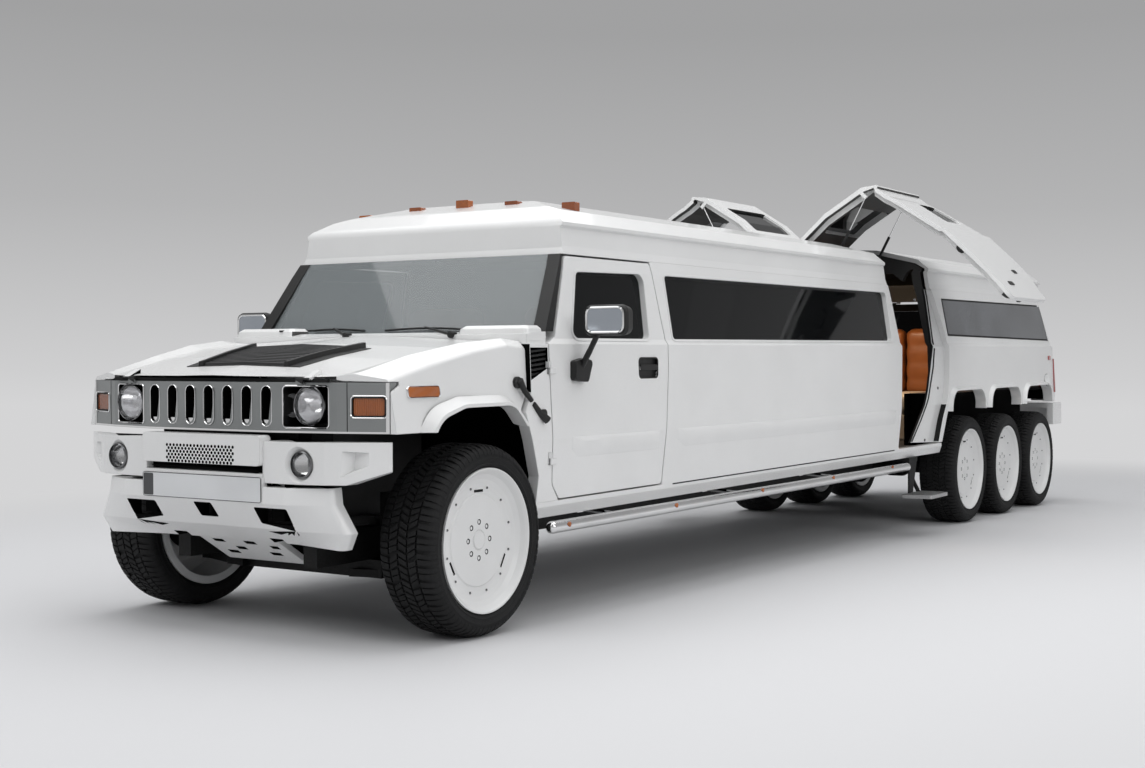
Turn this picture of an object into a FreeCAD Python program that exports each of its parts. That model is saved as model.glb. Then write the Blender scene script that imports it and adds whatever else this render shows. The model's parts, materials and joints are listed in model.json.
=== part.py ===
"""Stretch limousine with three rear axles, a tilting bonnet and gull-wing cabin doors.

Every body panel is drawn level, in millimetres, from the ground point below the
front axle: +X to the vehicle's left, +Y rearwards, +Z up. The body then takes
the nose-down rake that the vehicle stands with, while wheels and axles stay level.
"""
import FreeCAD, Part
import Sketcher
import math
import os

V = FreeCAD.Vector

# alias, value, meaning
SIZES = [
    ("rake_angle", 0.972, "nose-down rake of the body in degrees"),
    ("body_half_width", 1000, "middle to the widest line of the body side"),
    ("sill_height", 492, "ground to the lower edge of the body side"),
    ("crease_rise", 381, "sill to the crease along the body side"),
    ("belt_rise", 870, "sill to the belt line below the windows"),
    ("glass_height", 430, "belt line to the gutter"),
    ("roof_side_height", 165, "gutter to the lip along the roof"),
    ("roof_rise", 183, "roof lip to the middle of the roof"),
    ("nose_reach", 331.5, "front tyre to the foremost face of the bumper"),
    ("cab_setback", 131.5, "front tyre to the front edge of the front doors"),
    ("door_length", 1178, "length of a front door"),
    ("stretch_length", 3535, "front door to the gull-wing opening"),
    ("gull_length", 930, "length of the gull-wing opening at the roof"),
    ("axle_setback", 116.5, "gull-wing opening to the first rear tyre"),
    ("tyre_spacing", 127, "space between neighbouring rear tyres"),
    ("tail_setback", 213.5, "last tyre to the tail"),
    ("bumper_reach", 263, "tail to the rearmost face of the rear bumper"),
    ("tyre_radius", 440.5, "outer radius of a tyre"),
    ("tyre_width", 304, "section width of a tyre"),
    ("wheel_inset", 120, "widest line of the body side to the centre plane of a wheel"),
    ("front_arch_gap", 168, "front tyre to the top of its arch"),
    ("rear_arch_gap", 96, "rear tyre to the top of its arch"),
    ("rim_radius", 331, "outer radius of the wheel lip"),
    ("rim_width", 290, "width over the wheel lips"),
    ("rim_lip", 12, "width of a wheel lip"),
    ("bead_seat", 16, "height of the lip above the tyre's seat"),
    ("disc_recess", 51, "wheel face behind the outer lip"),
    ("disc_plate", 12, "thickness of the wheel face"),
    ("lug_circle", 82.5, "radius of the lug circle"),
    ("lug_radius", 13, "radius of a lug's recess"),
    ("lug_count", 8, "lugs on a wheel"),
    ("slot_count", 3, "slots at the edge of a wheel face"),
    ("cap_radius", 45, "radius of the wheel's centre cap"),
    ("hub_gap", 0.3, "running gap between hub and wheel"),
    ("kingpin_offset", 135, "centre plane of a front wheel to its steering axis"),
    ("steer_angle", 30, "steering angle each way in degrees"),
    ("steer_room", 12, "clearance round a steered tyre"),
    ("wall", 60, "thickness of body side and doors"),
    ("pillar", 75, "depth of a windscreen pillar across the vehicle"),
    ("skin", 30, "thickness of roof and bonnet shells"),
    ("flange", 30, "thickness of a gull-wing door at its rim"),
    ("jamb_depth", 42, "door jamb behind the outer skin"),
    ("door_gap", 8, "gap round a front door"),
    ("gull_gap", 10, "gap round a gull-wing door"),
    ("gate_setback", 240, "widest line of the body side to the side of the tailgate"),
    ("gate_gap", 3, "gap beside the tailgate"),
    ("bead", 3, "height of the rolled bead round a window"),
    ("glass_thickness", 8, "thickness of a window pane"),
    ("glass_gap", 0.3, "space between a pane and its frame"),
    ("bonnet_hinge_inset", 450, "widest line of the body side to a bonnet hinge's barrel"),
    ("gull_hinge_x", 120, "gull-wing hinge from the middle"),
    ("gull_hinge_z", 2152, "height of the gull-wing hinge"),
    ("gull_open_angle", 45.5, "gull-wing doors stand open by this many degrees"),
    ("rail_x", 400, "centre of a frame rail from the middle"),
    ("rail_width", 80, "width of a frame rail"),
    ("rail_height", 150, "height of a frame rail"),
    ("rail_drop", 170, "floor to the lower face of the main rails"),
    ("rear_rail_height", 80, "height of a rear frame rail"),
    ("outrigger_count", 4, "outriggers between the front doors and the gull-wing opening"),
    ("floor_rise", 8, "sill to the lower face of the floor"),
    ("floor_plate", 40, "thickness of the floor"),
    ("engine_lift", 40, "engine above the frame rails"),
    ("receiver_bore", 51, "square bore of the hitch receiver"),
    ("receiver_wall", 7, "wall of the hitch receiver"),
    ("panel_bottom", 948, "lower edge of the front panel"),
    ("panel_height", 220, "height of the front panel"),
    ("panel_depth", 45, "depth of the front panel's bar"),
    ("bucket_depth", 165, "depth of the front panel behind the headlamps"),
    ("grille_slots", 7, "slots in the front panel"),
    ("slot_pitch", 117, "distance between neighbouring slots"),
    ("slot_width", 60, "width of a slot"),
    ("slot_height", 176, "height of a slot"),
    ("headlamp_inset", 450, "widest line of the body side to the centre of a headlamp opening"),
    ("headlamp_width", 222, "width of a headlamp opening"),
    ("headlamp_height", 180, "height of a headlamp opening"),
    ("headlamp_radius", 81, "radius of a headlamp"),
    ("turn_lamp_inset", 161, "widest line of the body side to the centre of a turn lamp"),
    ("turn_lamp_width", 152, "width of a turn lamp opening"),
    ("turn_lamp_height", 92, "height of a turn lamp opening"),
    ("fog_lamp_inset", 423, "widest line of the body side to the centre of a fog lamp"),
    ("fog_lamp_radius", 60, "radius of a fog lamp"),
    ("seat_gap", 0.3, "space between a piece and what carries it"),
    ("tube_outset", 50, "widest line of the body side to the middle of a running tube"),
    ("tube_radius", 30, "outer radius of a running tube"),
    ("step_length", 400, "length of the entry step's tread"),
    ("step_depth", 220, "depth of the entry step's tread"),
    ("step_drop", 265, "sill to the top of the entry step"),
]

# places across the vehicle that follow from the sizes: alias, expression, meaning
PLACES = [
    ("wheel_centre_x", "=body_half_width - wheel_inset", "centre plane of a wheel"),
    ("kingpin_x", "=wheel_centre_x - kingpin_offset", "steering axis"),
    ("headlamp_x", "=body_half_width - headlamp_inset", "centre of a headlamp opening"),
    ("turn_lamp_x", "=body_half_width - turn_lamp_inset", "centre of a turn lamp"),
    ("fog_lamp_x", "=body_half_width - fog_lamp_inset", "centre of a fog lamp"),
    ("tube_x", "=body_half_width + tube_outset", "middle of a running tube"),
    ("bonnet_hinge_x", "=body_half_width - bonnet_hinge_inset", "end of a hinge barrel"),
]

doc = FreeCAD.newDocument("StretchLimousine")
sheet = doc.addObject("Spreadsheet::Sheet", "Sizes")
for row, (alias, value, meaning) in enumerate(SIZES + PLACES, 1):
    sheet.set(f"A{row}", meaning)
    sheet.set(f"B{row}", str(value))
    sheet.setAlias(f"B{row}", alias)
doc.recompute()


def size(alias):
    """One driving dimension, read from the sheet."""
    return float(sheet.get(alias))


# -------------------------------------------------------------- datum heights
SILL = size("sill_height")
CREASE = SILL + size("crease_rise")
BELT = SILL + size("belt_rise")
GUTTER = BELT + size("glass_height")
LIP = GUTTER + size("roof_side_height")
CROWN = LIP + size("roof_rise")
DOOR_LOW = SILL + 86
GULL_LOW = SILL + 102
FLOOR = SILL + size("floor_rise")
FLOOR_TOP = FLOOR + size("floor_plate")
RAIL_LOW = FLOOR - size("rail_drop")
RAIL_TOP = RAIL_LOW + size("rail_height")
PANEL_LOW = size("panel_bottom")
PANEL_TOP = PANEL_LOW + size("panel_height")
LAMP_LEVEL = PANEL_LOW + 119

# -------------------------------------------------------------- datum lengths
TYRE = size("tyre_radius")
NOSE = -TYRE - size("nose_reach")
CAB = TYRE + size("cab_setback")
DOOR_END = CAB + size("door_length")
GULL = DOOR_END + size("stretch_length")
GULL_END = GULL + size("gull_length")
FIRST_REAR = GULL_END + size("axle_setback") + TYRE
REAR_PITCH = 2 * TYRE + size("tyre_spacing")
REAR_AXLES = [FIRST_REAR + i * REAR_PITCH for i in range(3)]
AXLES = [0.0] + REAR_AXLES
TAIL = REAR_AXLES[-1] + TYRE + size("tail_setback")
END = TAIL + size("bumper_reach")

# --------------------------------------------------------------- datum widths
HALF = size("body_half_width")
WALL = size("wall")
SKIN = size("skin")
GAP = size("door_gap")
GULL_GAP = size("gull_gap")
GATE_HALF = HALF - size("gate_setback")
SEAT = size("seat_gap")
RAIL_IN = size("rail_x") - size("rail_width") / 2
RAIL_OUT = size("rail_x") + size("rail_width") / 2

FRONT_ARCH_TOP = 2 * TYRE + size("front_arch_gap")
REAR_ARCH_TOP = 2 * TYRE + size("rear_arch_gap")

# body side from the sill to the gutter: x, z
SIDE_SECTION = [
    (HALF - 38, SILL),
    (HALF - 16, SILL + 54),
    (HALF - 14, SILL + 93),
    (HALF, CREASE),
    (HALF - 4, CREASE + 127),
    (HALF - 16, BELT - 27),
    (HALF - 34, BELT),
    (HALF - 104, GUTTER - 70),
    (HALF - 122, GUTTER),
]
# roof cap from the gutter to the middle: x, z
ROOF_SECTION = [
    (HALF - 122, GUTTER),
    (HALF - 136, GUTTER + 43),
    (HALF - 150, LIP - 27),
    (HALF - 138, LIP - 17),
    (HALF - 138, LIP),
    (HALF - 228, LIP + 75),
    (HALF - 570, CROWN - 24),
    (0, CROWN),
]


# ---------------------------------------------------------------- form tools
def on_plane(axis, across, up, level):
    """Point of an outline drawn square to one axis."""
    if axis == "x":
        return V(level, across, up)
    if axis == "y":
        return V(across, level, up)
    return V(across, up, level)


def outline(axis, rows, level):
    """Closed wire through rows of (across, up) or (across, up, corner radius)."""
    points = [on_plane(axis, row[0], row[1], level) for row in rows]
    radii = [row[2] if len(row) > 2 else 0 for row in rows]
    count = len(points)
    starts = list(points)
    ends = list(points)
    arcs = [None] * count
    for i, radius in enumerate(radii):
        if radius == 0:
            continue
        back = points[i - 1].sub(points[i])
        ahead = points[(i + 1) % count].sub(points[i])
        half = back.getAngle(ahead) / 2
        back.normalize()
        ahead.normalize()
        starts[i] = points[i] + back * (radius / math.tan(half))
        ends[i] = points[i] + ahead * (radius / math.tan(half))
        inward = back + ahead
        inward.normalize()
        crown = points[i] + inward * (radius / math.sin(half) - radius)
        arcs[i] = Part.Arc(starts[i], crown, ends[i]).toShape()
    edges = []
    for i in range(count):
        if arcs[i]:
            edges.append(arcs[i])
        following = starts[(i + 1) % count]
        if ends[i].distanceToPoint(following) > 0.01:
            edges.append(Part.LineSegment(ends[i], following).toShape())
    return Part.Wire(edges)


def drawn(axis, rows, start, end):
    """Outline drawn out along an axis from one level to another."""
    face = Part.Face(outline(axis, rows, start))
    return face.extrude(on_plane(axis, 0, 0, end - start))


def block(x_from, x_to, y_from, y_to, z_from, z_to):
    """Box between two corners."""
    corner = V(x_from, y_from, z_from)
    return Part.makeBox(x_to - x_from, y_to - y_from, z_to - z_from, corner)


def rod(start, end, radius):
    """Round bar from one point to another."""
    line = end.sub(start)
    return Part.makeCylinder(radius, line.Length, start, line)


def round_rod(start, end, radius, rounding):
    """Rod whose two ends are rounded off."""
    body = rod(start, end, radius)
    ends = [edge for edge in body.Edges if isinstance(edge.Curve, Part.Circle)]
    return body.makeFillet(rounding, ends)


def loft(axis, sections, ruled=True):
    """Solid through outlines: each section is its level and its rows."""
    wires = [outline(axis, rows, level) for level, rows in sections]
    return Part.makeLoft(wires, True, ruled)


def other_side(shape):
    """The same form on the other side of the vehicle."""
    return shape.mirror(V(0, 0, 0), V(1, 0, 0))


def both_sides(shape):
    """A form and its twin, as one compound."""
    return Part.makeCompound([shape, other_side(shape)])


def with_twin(half):
    """Rows of the left half, from the middle outwards, and their mirror image."""
    return half + [(-row[0],) + tuple(row[1:]) for row in reversed(half) if row[0] != 0]


def framed(x_from, x_to, z_from, z_to, radius):
    """Rows of an upright rectangle with round corners: x, z, radius."""
    return [
        (x_from, z_from, radius),
        (x_to, z_from, radius),
        (x_to, z_to, radius),
        (x_from, z_to, radius),
    ]


def reach(section, height):
    """Value of a section of (value, z) at a height."""
    for (low, z_low), (high, z_high) in zip(section, section[1:]):
        if min(z_low, z_high) <= height <= max(z_low, z_high) and z_low != z_high:
            return low + (high - low) * (height - z_low) / (z_high - z_low)
    return section[0][0] if height < section[0][1] else section[-1][0]


def side_shell(y_from, y_to, grow=0.0, depth=0.0, thickness=WALL):
    """Left body side wall: moved outwards by grow, its outer face set in by depth."""
    outer = [(x + grow - depth, z) for x, z in SIDE_SECTION]
    inner = [(x + grow - depth - thickness, z) for x, z in reversed(SIDE_SECTION)]
    return drawn("y", outer + inner, y_from, y_to)


def side_wall(rows, grow=0.0, depth=0.0, thickness=WALL):
    """Part of the left body side inside an outline of y and z."""
    lengths = [row[0] for row in rows]
    wall = side_shell(min(lengths) - 5, max(lengths) + 5, grow, depth, thickness)
    return wall.common(drawn("x", rows, 0, HALF + 200))


def window_hole(rows):
    return drawn("x", rows, HALF - 300, HALF + 100)


def window_bead(rows, width=14):
    """Rolled bead that stands proud round a window."""
    hole = Part.Face(outline("x", rows, HALF - 300))
    ring = hole.makeOffset2D(width).cut(hole)
    prism = ring.extrude(V(400, 0, 0))
    lengths = [row[0] for row in rows]
    band = side_shell(min(lengths) - 30, max(lengths) + 30, size("bead"), 0, 20)
    return band.common(prism)


def pane(rows):
    """Pane that follows the body side, half the wall behind its outer face."""
    gap = size("glass_gap")
    hole = Part.Face(outline("x", rows, HALF - 300)).makeOffset2D(-gap)
    lengths = [row[0] for row in rows]
    sheet_solid = side_shell(min(lengths) - 5, max(lengths) + 5, 0, WALL / 2,
                             size("glass_thickness"))
    return sheet_solid.common(hole.extrude(V(400, 0, 0)))


def cabin_rows(clear):
    """Closed X-Z outline inside the side walls and roof, kept clear of them."""
    half = [(x - WALL - clear, z) for x, z in SIDE_SECTION]
    drop = SKIN + clear
    half += [(x - drop - 30, z) for x, z in ROOF_SECTION[1:5]]
    half += [(x - drop, z - drop) for x, z in ROOF_SECTION[5:7]]
    return half + [(0, CROWN - drop)] + [(-x, z) for x, z in reversed(half)]


# -------------------------------------------------------------- document parts
NODES = []


def level_to_middle():
    """Wheels and axles: level, with the origin below the middle of the vehicle."""
    return FreeCAD.Placement(V(0, -MIDDLE, 0), FreeCAD.Rotation())


def body_to_middle():
    """Body: raked about the ground point below the front axle, then moved."""
    tilt = FreeCAD.Rotation(V(1, 0, 0), size("rake_angle"))
    return level_to_middle().multiply(FreeCAD.Placement(V(0, 0, 0), tilt))


def gull_to_middle(side):
    """Gull-wing door: swung open about its hinge, then placed like the body."""
    hinge = V(side * size("gull_hinge_x"), 0, size("gull_hinge_z"))
    swing = FreeCAD.Rotation(V(0, -side, 0), size("gull_open_angle"))
    opened = FreeCAD.Placement(V(0, 0, 0), swing, hinge)
    return body_to_middle().multiply(opened)


def raked(y, z):
    """Length and height, on the level ground, of a point of the raked body."""
    rake = math.radians(size("rake_angle"))
    return (y * math.cos(rake) - z * math.sin(rake), y * math.sin(rake) + z * math.cos(rake))


def keep(feature, label, placement):
    """Name and place a finished object of the document as a sub-part."""
    feature.Label = label
    feature.Placement = placement
    NODES.append(feature)
    return feature


def add(label, shape, placement=None):
    """One sub-part whose form is made by surface and solid operations."""
    if shape.ShapeType == "Compound" and len(shape.Solids) == 1:
        shape = shape.Solids[0]
    feature = doc.addObject("Part::Feature", label)
    feature.Shape = shape
    return keep(feature, label, placement or body_to_middle())


def bind(item, **expressions):
    """Tie properties of an object to cells of the sheet."""
    for name, expression in expressions.items():
        item.setExpression(name, expression)
    return item


def box_item(name, x, y, z, length, width, height):
    """Part::Box whose corner and sides are expressions on the sheet."""
    item = doc.addObject("Part::Box", name)
    bind(item, Length=length, Width=width, Height=height)
    item.setExpression(".Placement.Base.x", x)
    item.setExpression(".Placement.Base.y", y)
    item.setExpression(".Placement.Base.z", z)
    return item


def origin_plane(body, role):
    """One of a body's own origin planes or axes."""
    for feature in body.Origin.OriginFeatures:
        if feature.Role == role:
            return feature
    raise RuntimeError(f"{body.Label} has no {role}")


def plane_sketch(body, name, role):
    """Empty sketch on one of a body's origin planes."""
    item = body.newObject("Sketcher::SketchObject", name)
    item.AttachmentSupport = [(origin_plane(body, role), "")]
    item.MapMode = "FlatFace"
    return item


def bound_polygon(item, rows):
    """Closed run of lines in a sketch; each corner's place is a pair of expressions."""
    first = item.GeometryCount
    count = len(rows)
    for i in range(count):
        here = 2 * math.pi * i / count
        ahead = 2 * math.pi * (i + 1) / count
        start = V(100 * math.cos(here), 100 * math.sin(here), 0)
        end = V(100 * math.cos(ahead), 100 * math.sin(ahead), 0)
        item.addGeometry(Part.LineSegment(start, end), False)
    for i in range(count):
        follower = first + (i + 1) % count
        item.addConstraint(Sketcher.Constraint("Coincident", first + i, 2, follower, 1))
    for i, (across, up) in enumerate(rows):
        for kind, expression in (("DistanceX", across), ("DistanceY", up)):
            place = item.addConstraint(Sketcher.Constraint(kind, -1, 1, first + i, 1, 100.0))
            item.setExpression(f"Constraints[{place}]", expression)
    return item


def bound_circle(item, across, up, radius):
    """Circle in a sketch with its centre and radius tied to expressions."""
    edge = item.addGeometry(Part.Circle(V(50, 50, 0), V(0, 0, 1), 10), False)
    for kind, expression in (("DistanceX", across), ("DistanceY", up)):
        place = item.addConstraint(Sketcher.Constraint(kind, -1, 1, edge, 3, 50.0))
        item.setExpression(f"Constraints[{place}]", expression)
    place = item.addConstraint(Sketcher.Constraint("Radius", edge, 10.0))
    item.setExpression(f"Constraints[{place}]", radius)
    return item


# ------------------------------------------------------------------- body side
DOOR_AXIS = (HALF + 3, CAB - 12)
HINGE_HEIGHTS = (SILL + 268, SILL + 708)
# front door: y, z, corner radius
DOOR_ROWS = [
    (CAB + 83, DOOR_LOW, 20),
    (CAB + 18, DOOR_LOW + 72, 60),
    (CAB, BELT - 22, 12),
    (CAB + 84, BELT + 8, 10),
    (CAB + 296, GUTTER - 10, 30),
    (DOOR_END - 28, GUTTER - 10, 20),
    (DOOR_END, BELT - 17, 0),
    (DOOR_END - 5, BELT - 162, 0),
    (DOOR_END - 82, DOOR_LOW, 25),
]
DOOR_WINDOW = [
    (CAB + 238, BELT + 4, 35),
    (CAB + 372, GUTTER - 88, 40),
    (DOOR_END - 124, GUTTER - 74, 50),
    (DOOR_END - 175, BELT + 4, 35),
]
STRETCH_WINDOW = [
    (DOOR_END + 93, BELT + 4, 20),
    (DOOR_END + 109, GUTTER - 72, 24),
    (GULL - 85, GUTTER - 61, 30),
    (GULL - 127, BELT + 12, 30),
]
HANDLE = {"middle": DOOR_END - 220, "height": BELT - 152, "half": 100, "rise": 52}


def stretch_rows():
    """Body side between front door and gull-wing door, with the sill below both."""
    return [
        (CAB - 102, SILL),
        (GULL_END - 15, SILL),
        (GULL_END - 35, SILL + 79),
        (GULL - 49, SILL + 79, 20),
        (GULL - 45, GULL_LOW),
        (GULL + 38, BELT - 19, 400),
        (GULL + 15, GUTTER),
        (DOOR_END - 28 + GAP, GUTTER),
        (DOOR_END + GAP, BELT - 17),
        (DOOR_END - 5 + GAP, BELT - 162),
        (DOOR_END - 82 + GAP, DOOR_LOW - GAP),
        (CAB - 124, DOOR_LOW - GAP),
    ]


def steered_room():
    """Room that the left front tyre sweeps between its steering stops."""
    room = size("steer_room")
    half = size("tyre_width") / 2 + room
    pin = V(size("kingpin_x"), 0, 0)
    middle = size("wheel_centre_x")
    envelope = rod(V(middle - half, 0, TYRE), V(middle + half, 0, TYRE), TYRE + room)
    swept = []
    steps = 6
    for i in range(steps + 1):
        turned = envelope.copy()
        turned.rotate(pin, V(0, 0, 1), size("steer_angle") * (2 * i / steps - 1))
        swept.append(turned)
    return swept[0].fuse(swept[1:])


def make_stretch_side(tyre_room):
    wall = side_wall(stretch_rows()).fuse(window_bead(STRETCH_WINDOW))
    return wall.cut([window_hole(STRETCH_WINDOW), tyre_room])


def door_hinge(height, edge, upper):
    """One leaf of a door hinge: the lower half is the door's, the upper the frame's."""
    low = height + (20 + SEAT if upper else -10)
    x, y = DOOR_AXIS
    knuckle = rod(V(x, y, low), V(x, y, low + 30), 6)
    near, far = sorted((y, edge))
    return knuckle.fuse(block(HALF - 18, x, near, far, low, low + 30))


def make_front_door():
    """Door with its window, a beaded frame, a sunk handle plate and hinge leaves."""
    wall = side_wall(DOOR_ROWS).fuse(window_bead(DOOR_WINDOW))
    middle, height = HANDLE["middle"], HANDLE["height"]
    half, rise = HANDLE["half"], HANDLE["rise"]
    plate = framed(middle - half, middle + half, height - rise, height + rise, 22)
    recess = drawn("x", plate, HALF - 26, HALF + 20)
    grip = block(HALF - 26, HALF - 6, middle - half, middle + half, height - 9, height + 9)
    door = wall.cut([window_hole(DOOR_WINDOW), recess.cut(grip)])
    return door.fuse([door_hinge(level, CAB + 40, False) for level in HINGE_HEIGHTS])


# ----------------------------------------------------------------- rear body
TOOTH_LOW = REAR_ARCH_TOP - 162
# tail outer face: y, z
TAIL_SECTION = [
    (TAIL + 2, TOOTH_LOW),
    (TAIL, SILL + 358),
    (TAIL - 36, BELT - 27),
    (TAIL - 217, GUTTER),
]
# rear edge of the gull-wing opening: y, z, corner radius
OPENING_EDGE = [
    (GULL_END - 105, SILL + 85, 0),
    (GULL_END - 35, SILL + 268, 300),
    (GULL_END + 115, SILL + 508, 500),
    (GULL_END + 157, BELT + 26, 400),
    (GULL_END + 17, GUTTER, 0),
]
# seal line inside that edge, where the jamb ends: y, z, corner radius
SEAL_EDGE = [
    (GULL_END - 30, GUTTER, 0),
    (GULL_END - 88, BELT + 26, 500),
    (GULL_END - 282, SILL + 434, 600),
    (GULL_END - 615, SILL + 107, 0),
]


def arch_rows(axle_y, grow):
    """Opening over one rear wheel, widened by grow: y, z, corner radius."""
    front = axle_y - TYRE + 25 - grow
    rear = axle_y + TYRE - 55 + grow
    top = REAR_ARCH_TOP + grow
    corner = 130 + grow
    return [
        (front - 60, TOOTH_LOW - 400, 0),
        (front, top, corner),
        (rear, top, corner),
        (rear + 30, TOOTH_LOW - 400, 0),
    ]


def rolled_lip(axis_rows_outer, axis_rows_inner, low, high, y_from, y_to):
    """Arch lip that swells from the body side to its outer rim."""
    swell = loft("x", [(HALF - 30, axis_rows_outer), (HALF + 28, axis_rows_inner)])
    return swell.common(block(HALF - 30, HALF + 40, y_from, y_to, low, high))


def corner_rows(height, grow):
    """Plan of the left rear corner at a height: x, y, corner radius."""
    out = reach(SIDE_SECTION, height) + grow
    tail = reach(TAIL_SECTION, height) + grow
    gate_edge = GATE_HALF + size("gate_gap")
    side_in = out - WALL - grow
    tail_in = tail - WALL - grow
    return [
        (out, tail - 300, 0),
        (out, tail, 90),
        (gate_edge, tail, 0),
        (gate_edge, tail_in, 0),
        (side_in, tail_in, 30),
        (side_in, tail - 300, 0),
    ]


def rear_corner(grow):
    """Left rear corner of the body, round in plan and leaning in above the belt."""
    bends = [CREASE, BELT - 27, BELT, GUTTER - 70, GUTTER]
    heights = [TOOTH_LOW] + [height for height in bends if height > TOOTH_LOW + 20]
    return loft("z", [(height, corner_rows(height, grow)) for height in heights])


def tail_lamp_room():
    return block(HALF - 160, HALF + 60, TAIL - 110, TAIL + 60, SILL + 408, SILL + 728)


def make_rear_side():
    """Side behind the gull-wing opening, with its jamb, three arches and the corner."""
    edge = OPENING_EDGE
    wall_rows = edge + [
        (reach(TAIL_SECTION, GUTTER) - 295, GUTTER),
        (reach(TAIL_SECTION, BELT) - 295, BELT),
        (TAIL - 295, TOOTH_LOW),
        (GULL_END + 85, TOOTH_LOW),
        (GULL_END - 19, SILL + 85),
    ]
    wall = side_wall(wall_rows)
    jamb_rows = edge + SEAL_EDGE
    jamb_rows[4] = (GULL_END + 17, GUTTER - 1, 0)
    jamb_rows[5] = (GULL_END - 30, GUTTER - 1, 0)
    depth = size("jamb_depth")
    jamb = side_wall(jamb_rows, 0, depth, WALL - depth)
    lips = []
    openings = []
    for axle_y in REAR_AXLES:
        lip = rolled_lip(arch_rows(axle_y, 46), arch_rows(axle_y, 14), TOOTH_LOW,
                         REAR_ARCH_TOP + 60, axle_y - REAR_PITCH / 2 - 20,
                         axle_y + REAR_PITCH / 2)
        lips.append(lip)
        openings.append(drawn("x", arch_rows(axle_y, 0), HALF - 200, HALF + 100))
    body = wall.fuse([jamb, rear_corner(0)] + lips)
    return body.cut(openings + [tail_lamp_room()])


def make_tail_lamps():
    lamp = rear_corner(8).common(tail_lamp_room())
    return both_sides(lamp)


# ----------------------------------------------------------------- roof
FRAME_FOOT = (CAB + 6, BELT)
FRAME_HEAD = (CAB + 266, GUTTER)
# side view of the roof: y, z, corner radius
ROOF_SIDE = [
    (FRAME_HEAD[0] + 22, GUTTER, 0),
    (FRAME_HEAD[0] + 34, GUTTER + 35, 0),
    (FRAME_HEAD[0] + 44, LIP + 10, 60),
    (FRAME_HEAD[0] + 210, LIP + 100, 150),
    (FRAME_HEAD[0] + 460, CROWN - 16, 300),
    (FRAME_HEAD[0] + 900, CROWN + 20, 0),
    (TAIL - 420, CROWN + 20, 0),
    (TAIL - 150, CROWN - 46, 120),
    (TAIL - 118, LIP - 10, 60),
    (TAIL - 217, GUTTER, 0),
]
ROOF_SIDE_INNER = [
    (FRAME_HEAD[0] + 62, GUTTER - 5, 0),
    (FRAME_HEAD[0] + 80, LIP, 40),
    (FRAME_HEAD[0] + 235, LIP + 68, 120),
    (FRAME_HEAD[0] + 480, CROWN - 50, 260),
    (FRAME_HEAD[0] + 900, CROWN - 10, 0),
    (TAIL - 430, CROWN - 10, 0),
    (TAIL - 190, CROWN - 80, 90),
    (TAIL - 160, LIP - 8, 40),
    (TAIL - 257, GUTTER - 5, 0),
]


def roof_rows(drop):
    """Closed X-Z outline of the roof cap, taken inwards by drop."""
    left = [(x - drop, z) for x, z in ROOF_SECTION[:5]]
    left += [(x - drop * 0.6, z - drop) for x, z in ROOF_SECTION[5:7]]
    left += [(0, CROWN - drop)]
    if drop:
        left[0] = (left[0][0], GUTTER - 5)
    return left + [(-x, z) for x, z in reversed(left[:-1])]


def roof_block(drop, side_rows):
    """Solid below the roof's outer face, taken inwards by drop."""
    section = drawn("y", roof_rows(drop), CAB, END)
    return section.common(drawn("x", side_rows, -HALF, HALF))


GULL_KNUCKLES = ((GULL + 140, 60), (GULL_END - 200, 60))
GATE_AXIS = (TAIL - 192, GUTTER - 10)
GATE_KNUCKLES = (560, 600)


def gull_knuckle(start, width, reach_x):
    """Barrel on the left gull-wing hinge with its leaf towards reach_x."""
    x, z = size("gull_hinge_x"), size("gull_hinge_z")
    barrel = rod(V(x, start, z), V(x, start + width, z), 9)
    low = CROWN - 34
    leaf = [(x, z + 8), (x, low), (reach_x, low), (reach_x, CROWN - 12)]
    return barrel.fuse(drawn("y", leaf, start, start + width))


def gate_hinge(x_from, x_to, upper):
    """One leaf of a tailgate hinge, on the gate or, if upper, on the roof."""
    y, z = GATE_AXIS
    knuckle = rod(V(x_from, y, z), V(x_to, y, z), 8)
    leaf = [(y - 8, z), (y, z - 8), (y - 20, z - 40), (y - 34, z - 32)]
    if upper:
        leaf = [(y, z + 8), (y + 8, z), (y + 4, z + 50), (y - 14, z + 44)]
    return knuckle.fuse(drawn("x", leaf, x_from, x_to))


def make_roof():
    """Shell over the whole body, cut out for the roof parts of the gull-wing doors."""
    roof = roof_block(0, ROOF_SIDE).cut(roof_block(SKIN, ROOF_SIDE_INNER))
    for side in (-1, 1):
        near, far = sorted((side * (size("gull_hinge_x") - 2), side * HALF))
        roof = roof.cut(block(near, far, GULL, GULL_END, GUTTER - 50, CROWN + 60))
    knuckles = []
    for start, width in GULL_KNUCKLES:
        knuckle = gull_knuckle(start, width, size("gull_hinge_x") - 60)
        knuckles += [knuckle, other_side(knuckle)]
    low, high = GATE_KNUCKLES
    for x in (low + 40 + SEAT, -high + 40 + SEAT):
        knuckles.append(gate_hinge(x, x + 40, True))
    return roof.fuse(knuckles)


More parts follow.
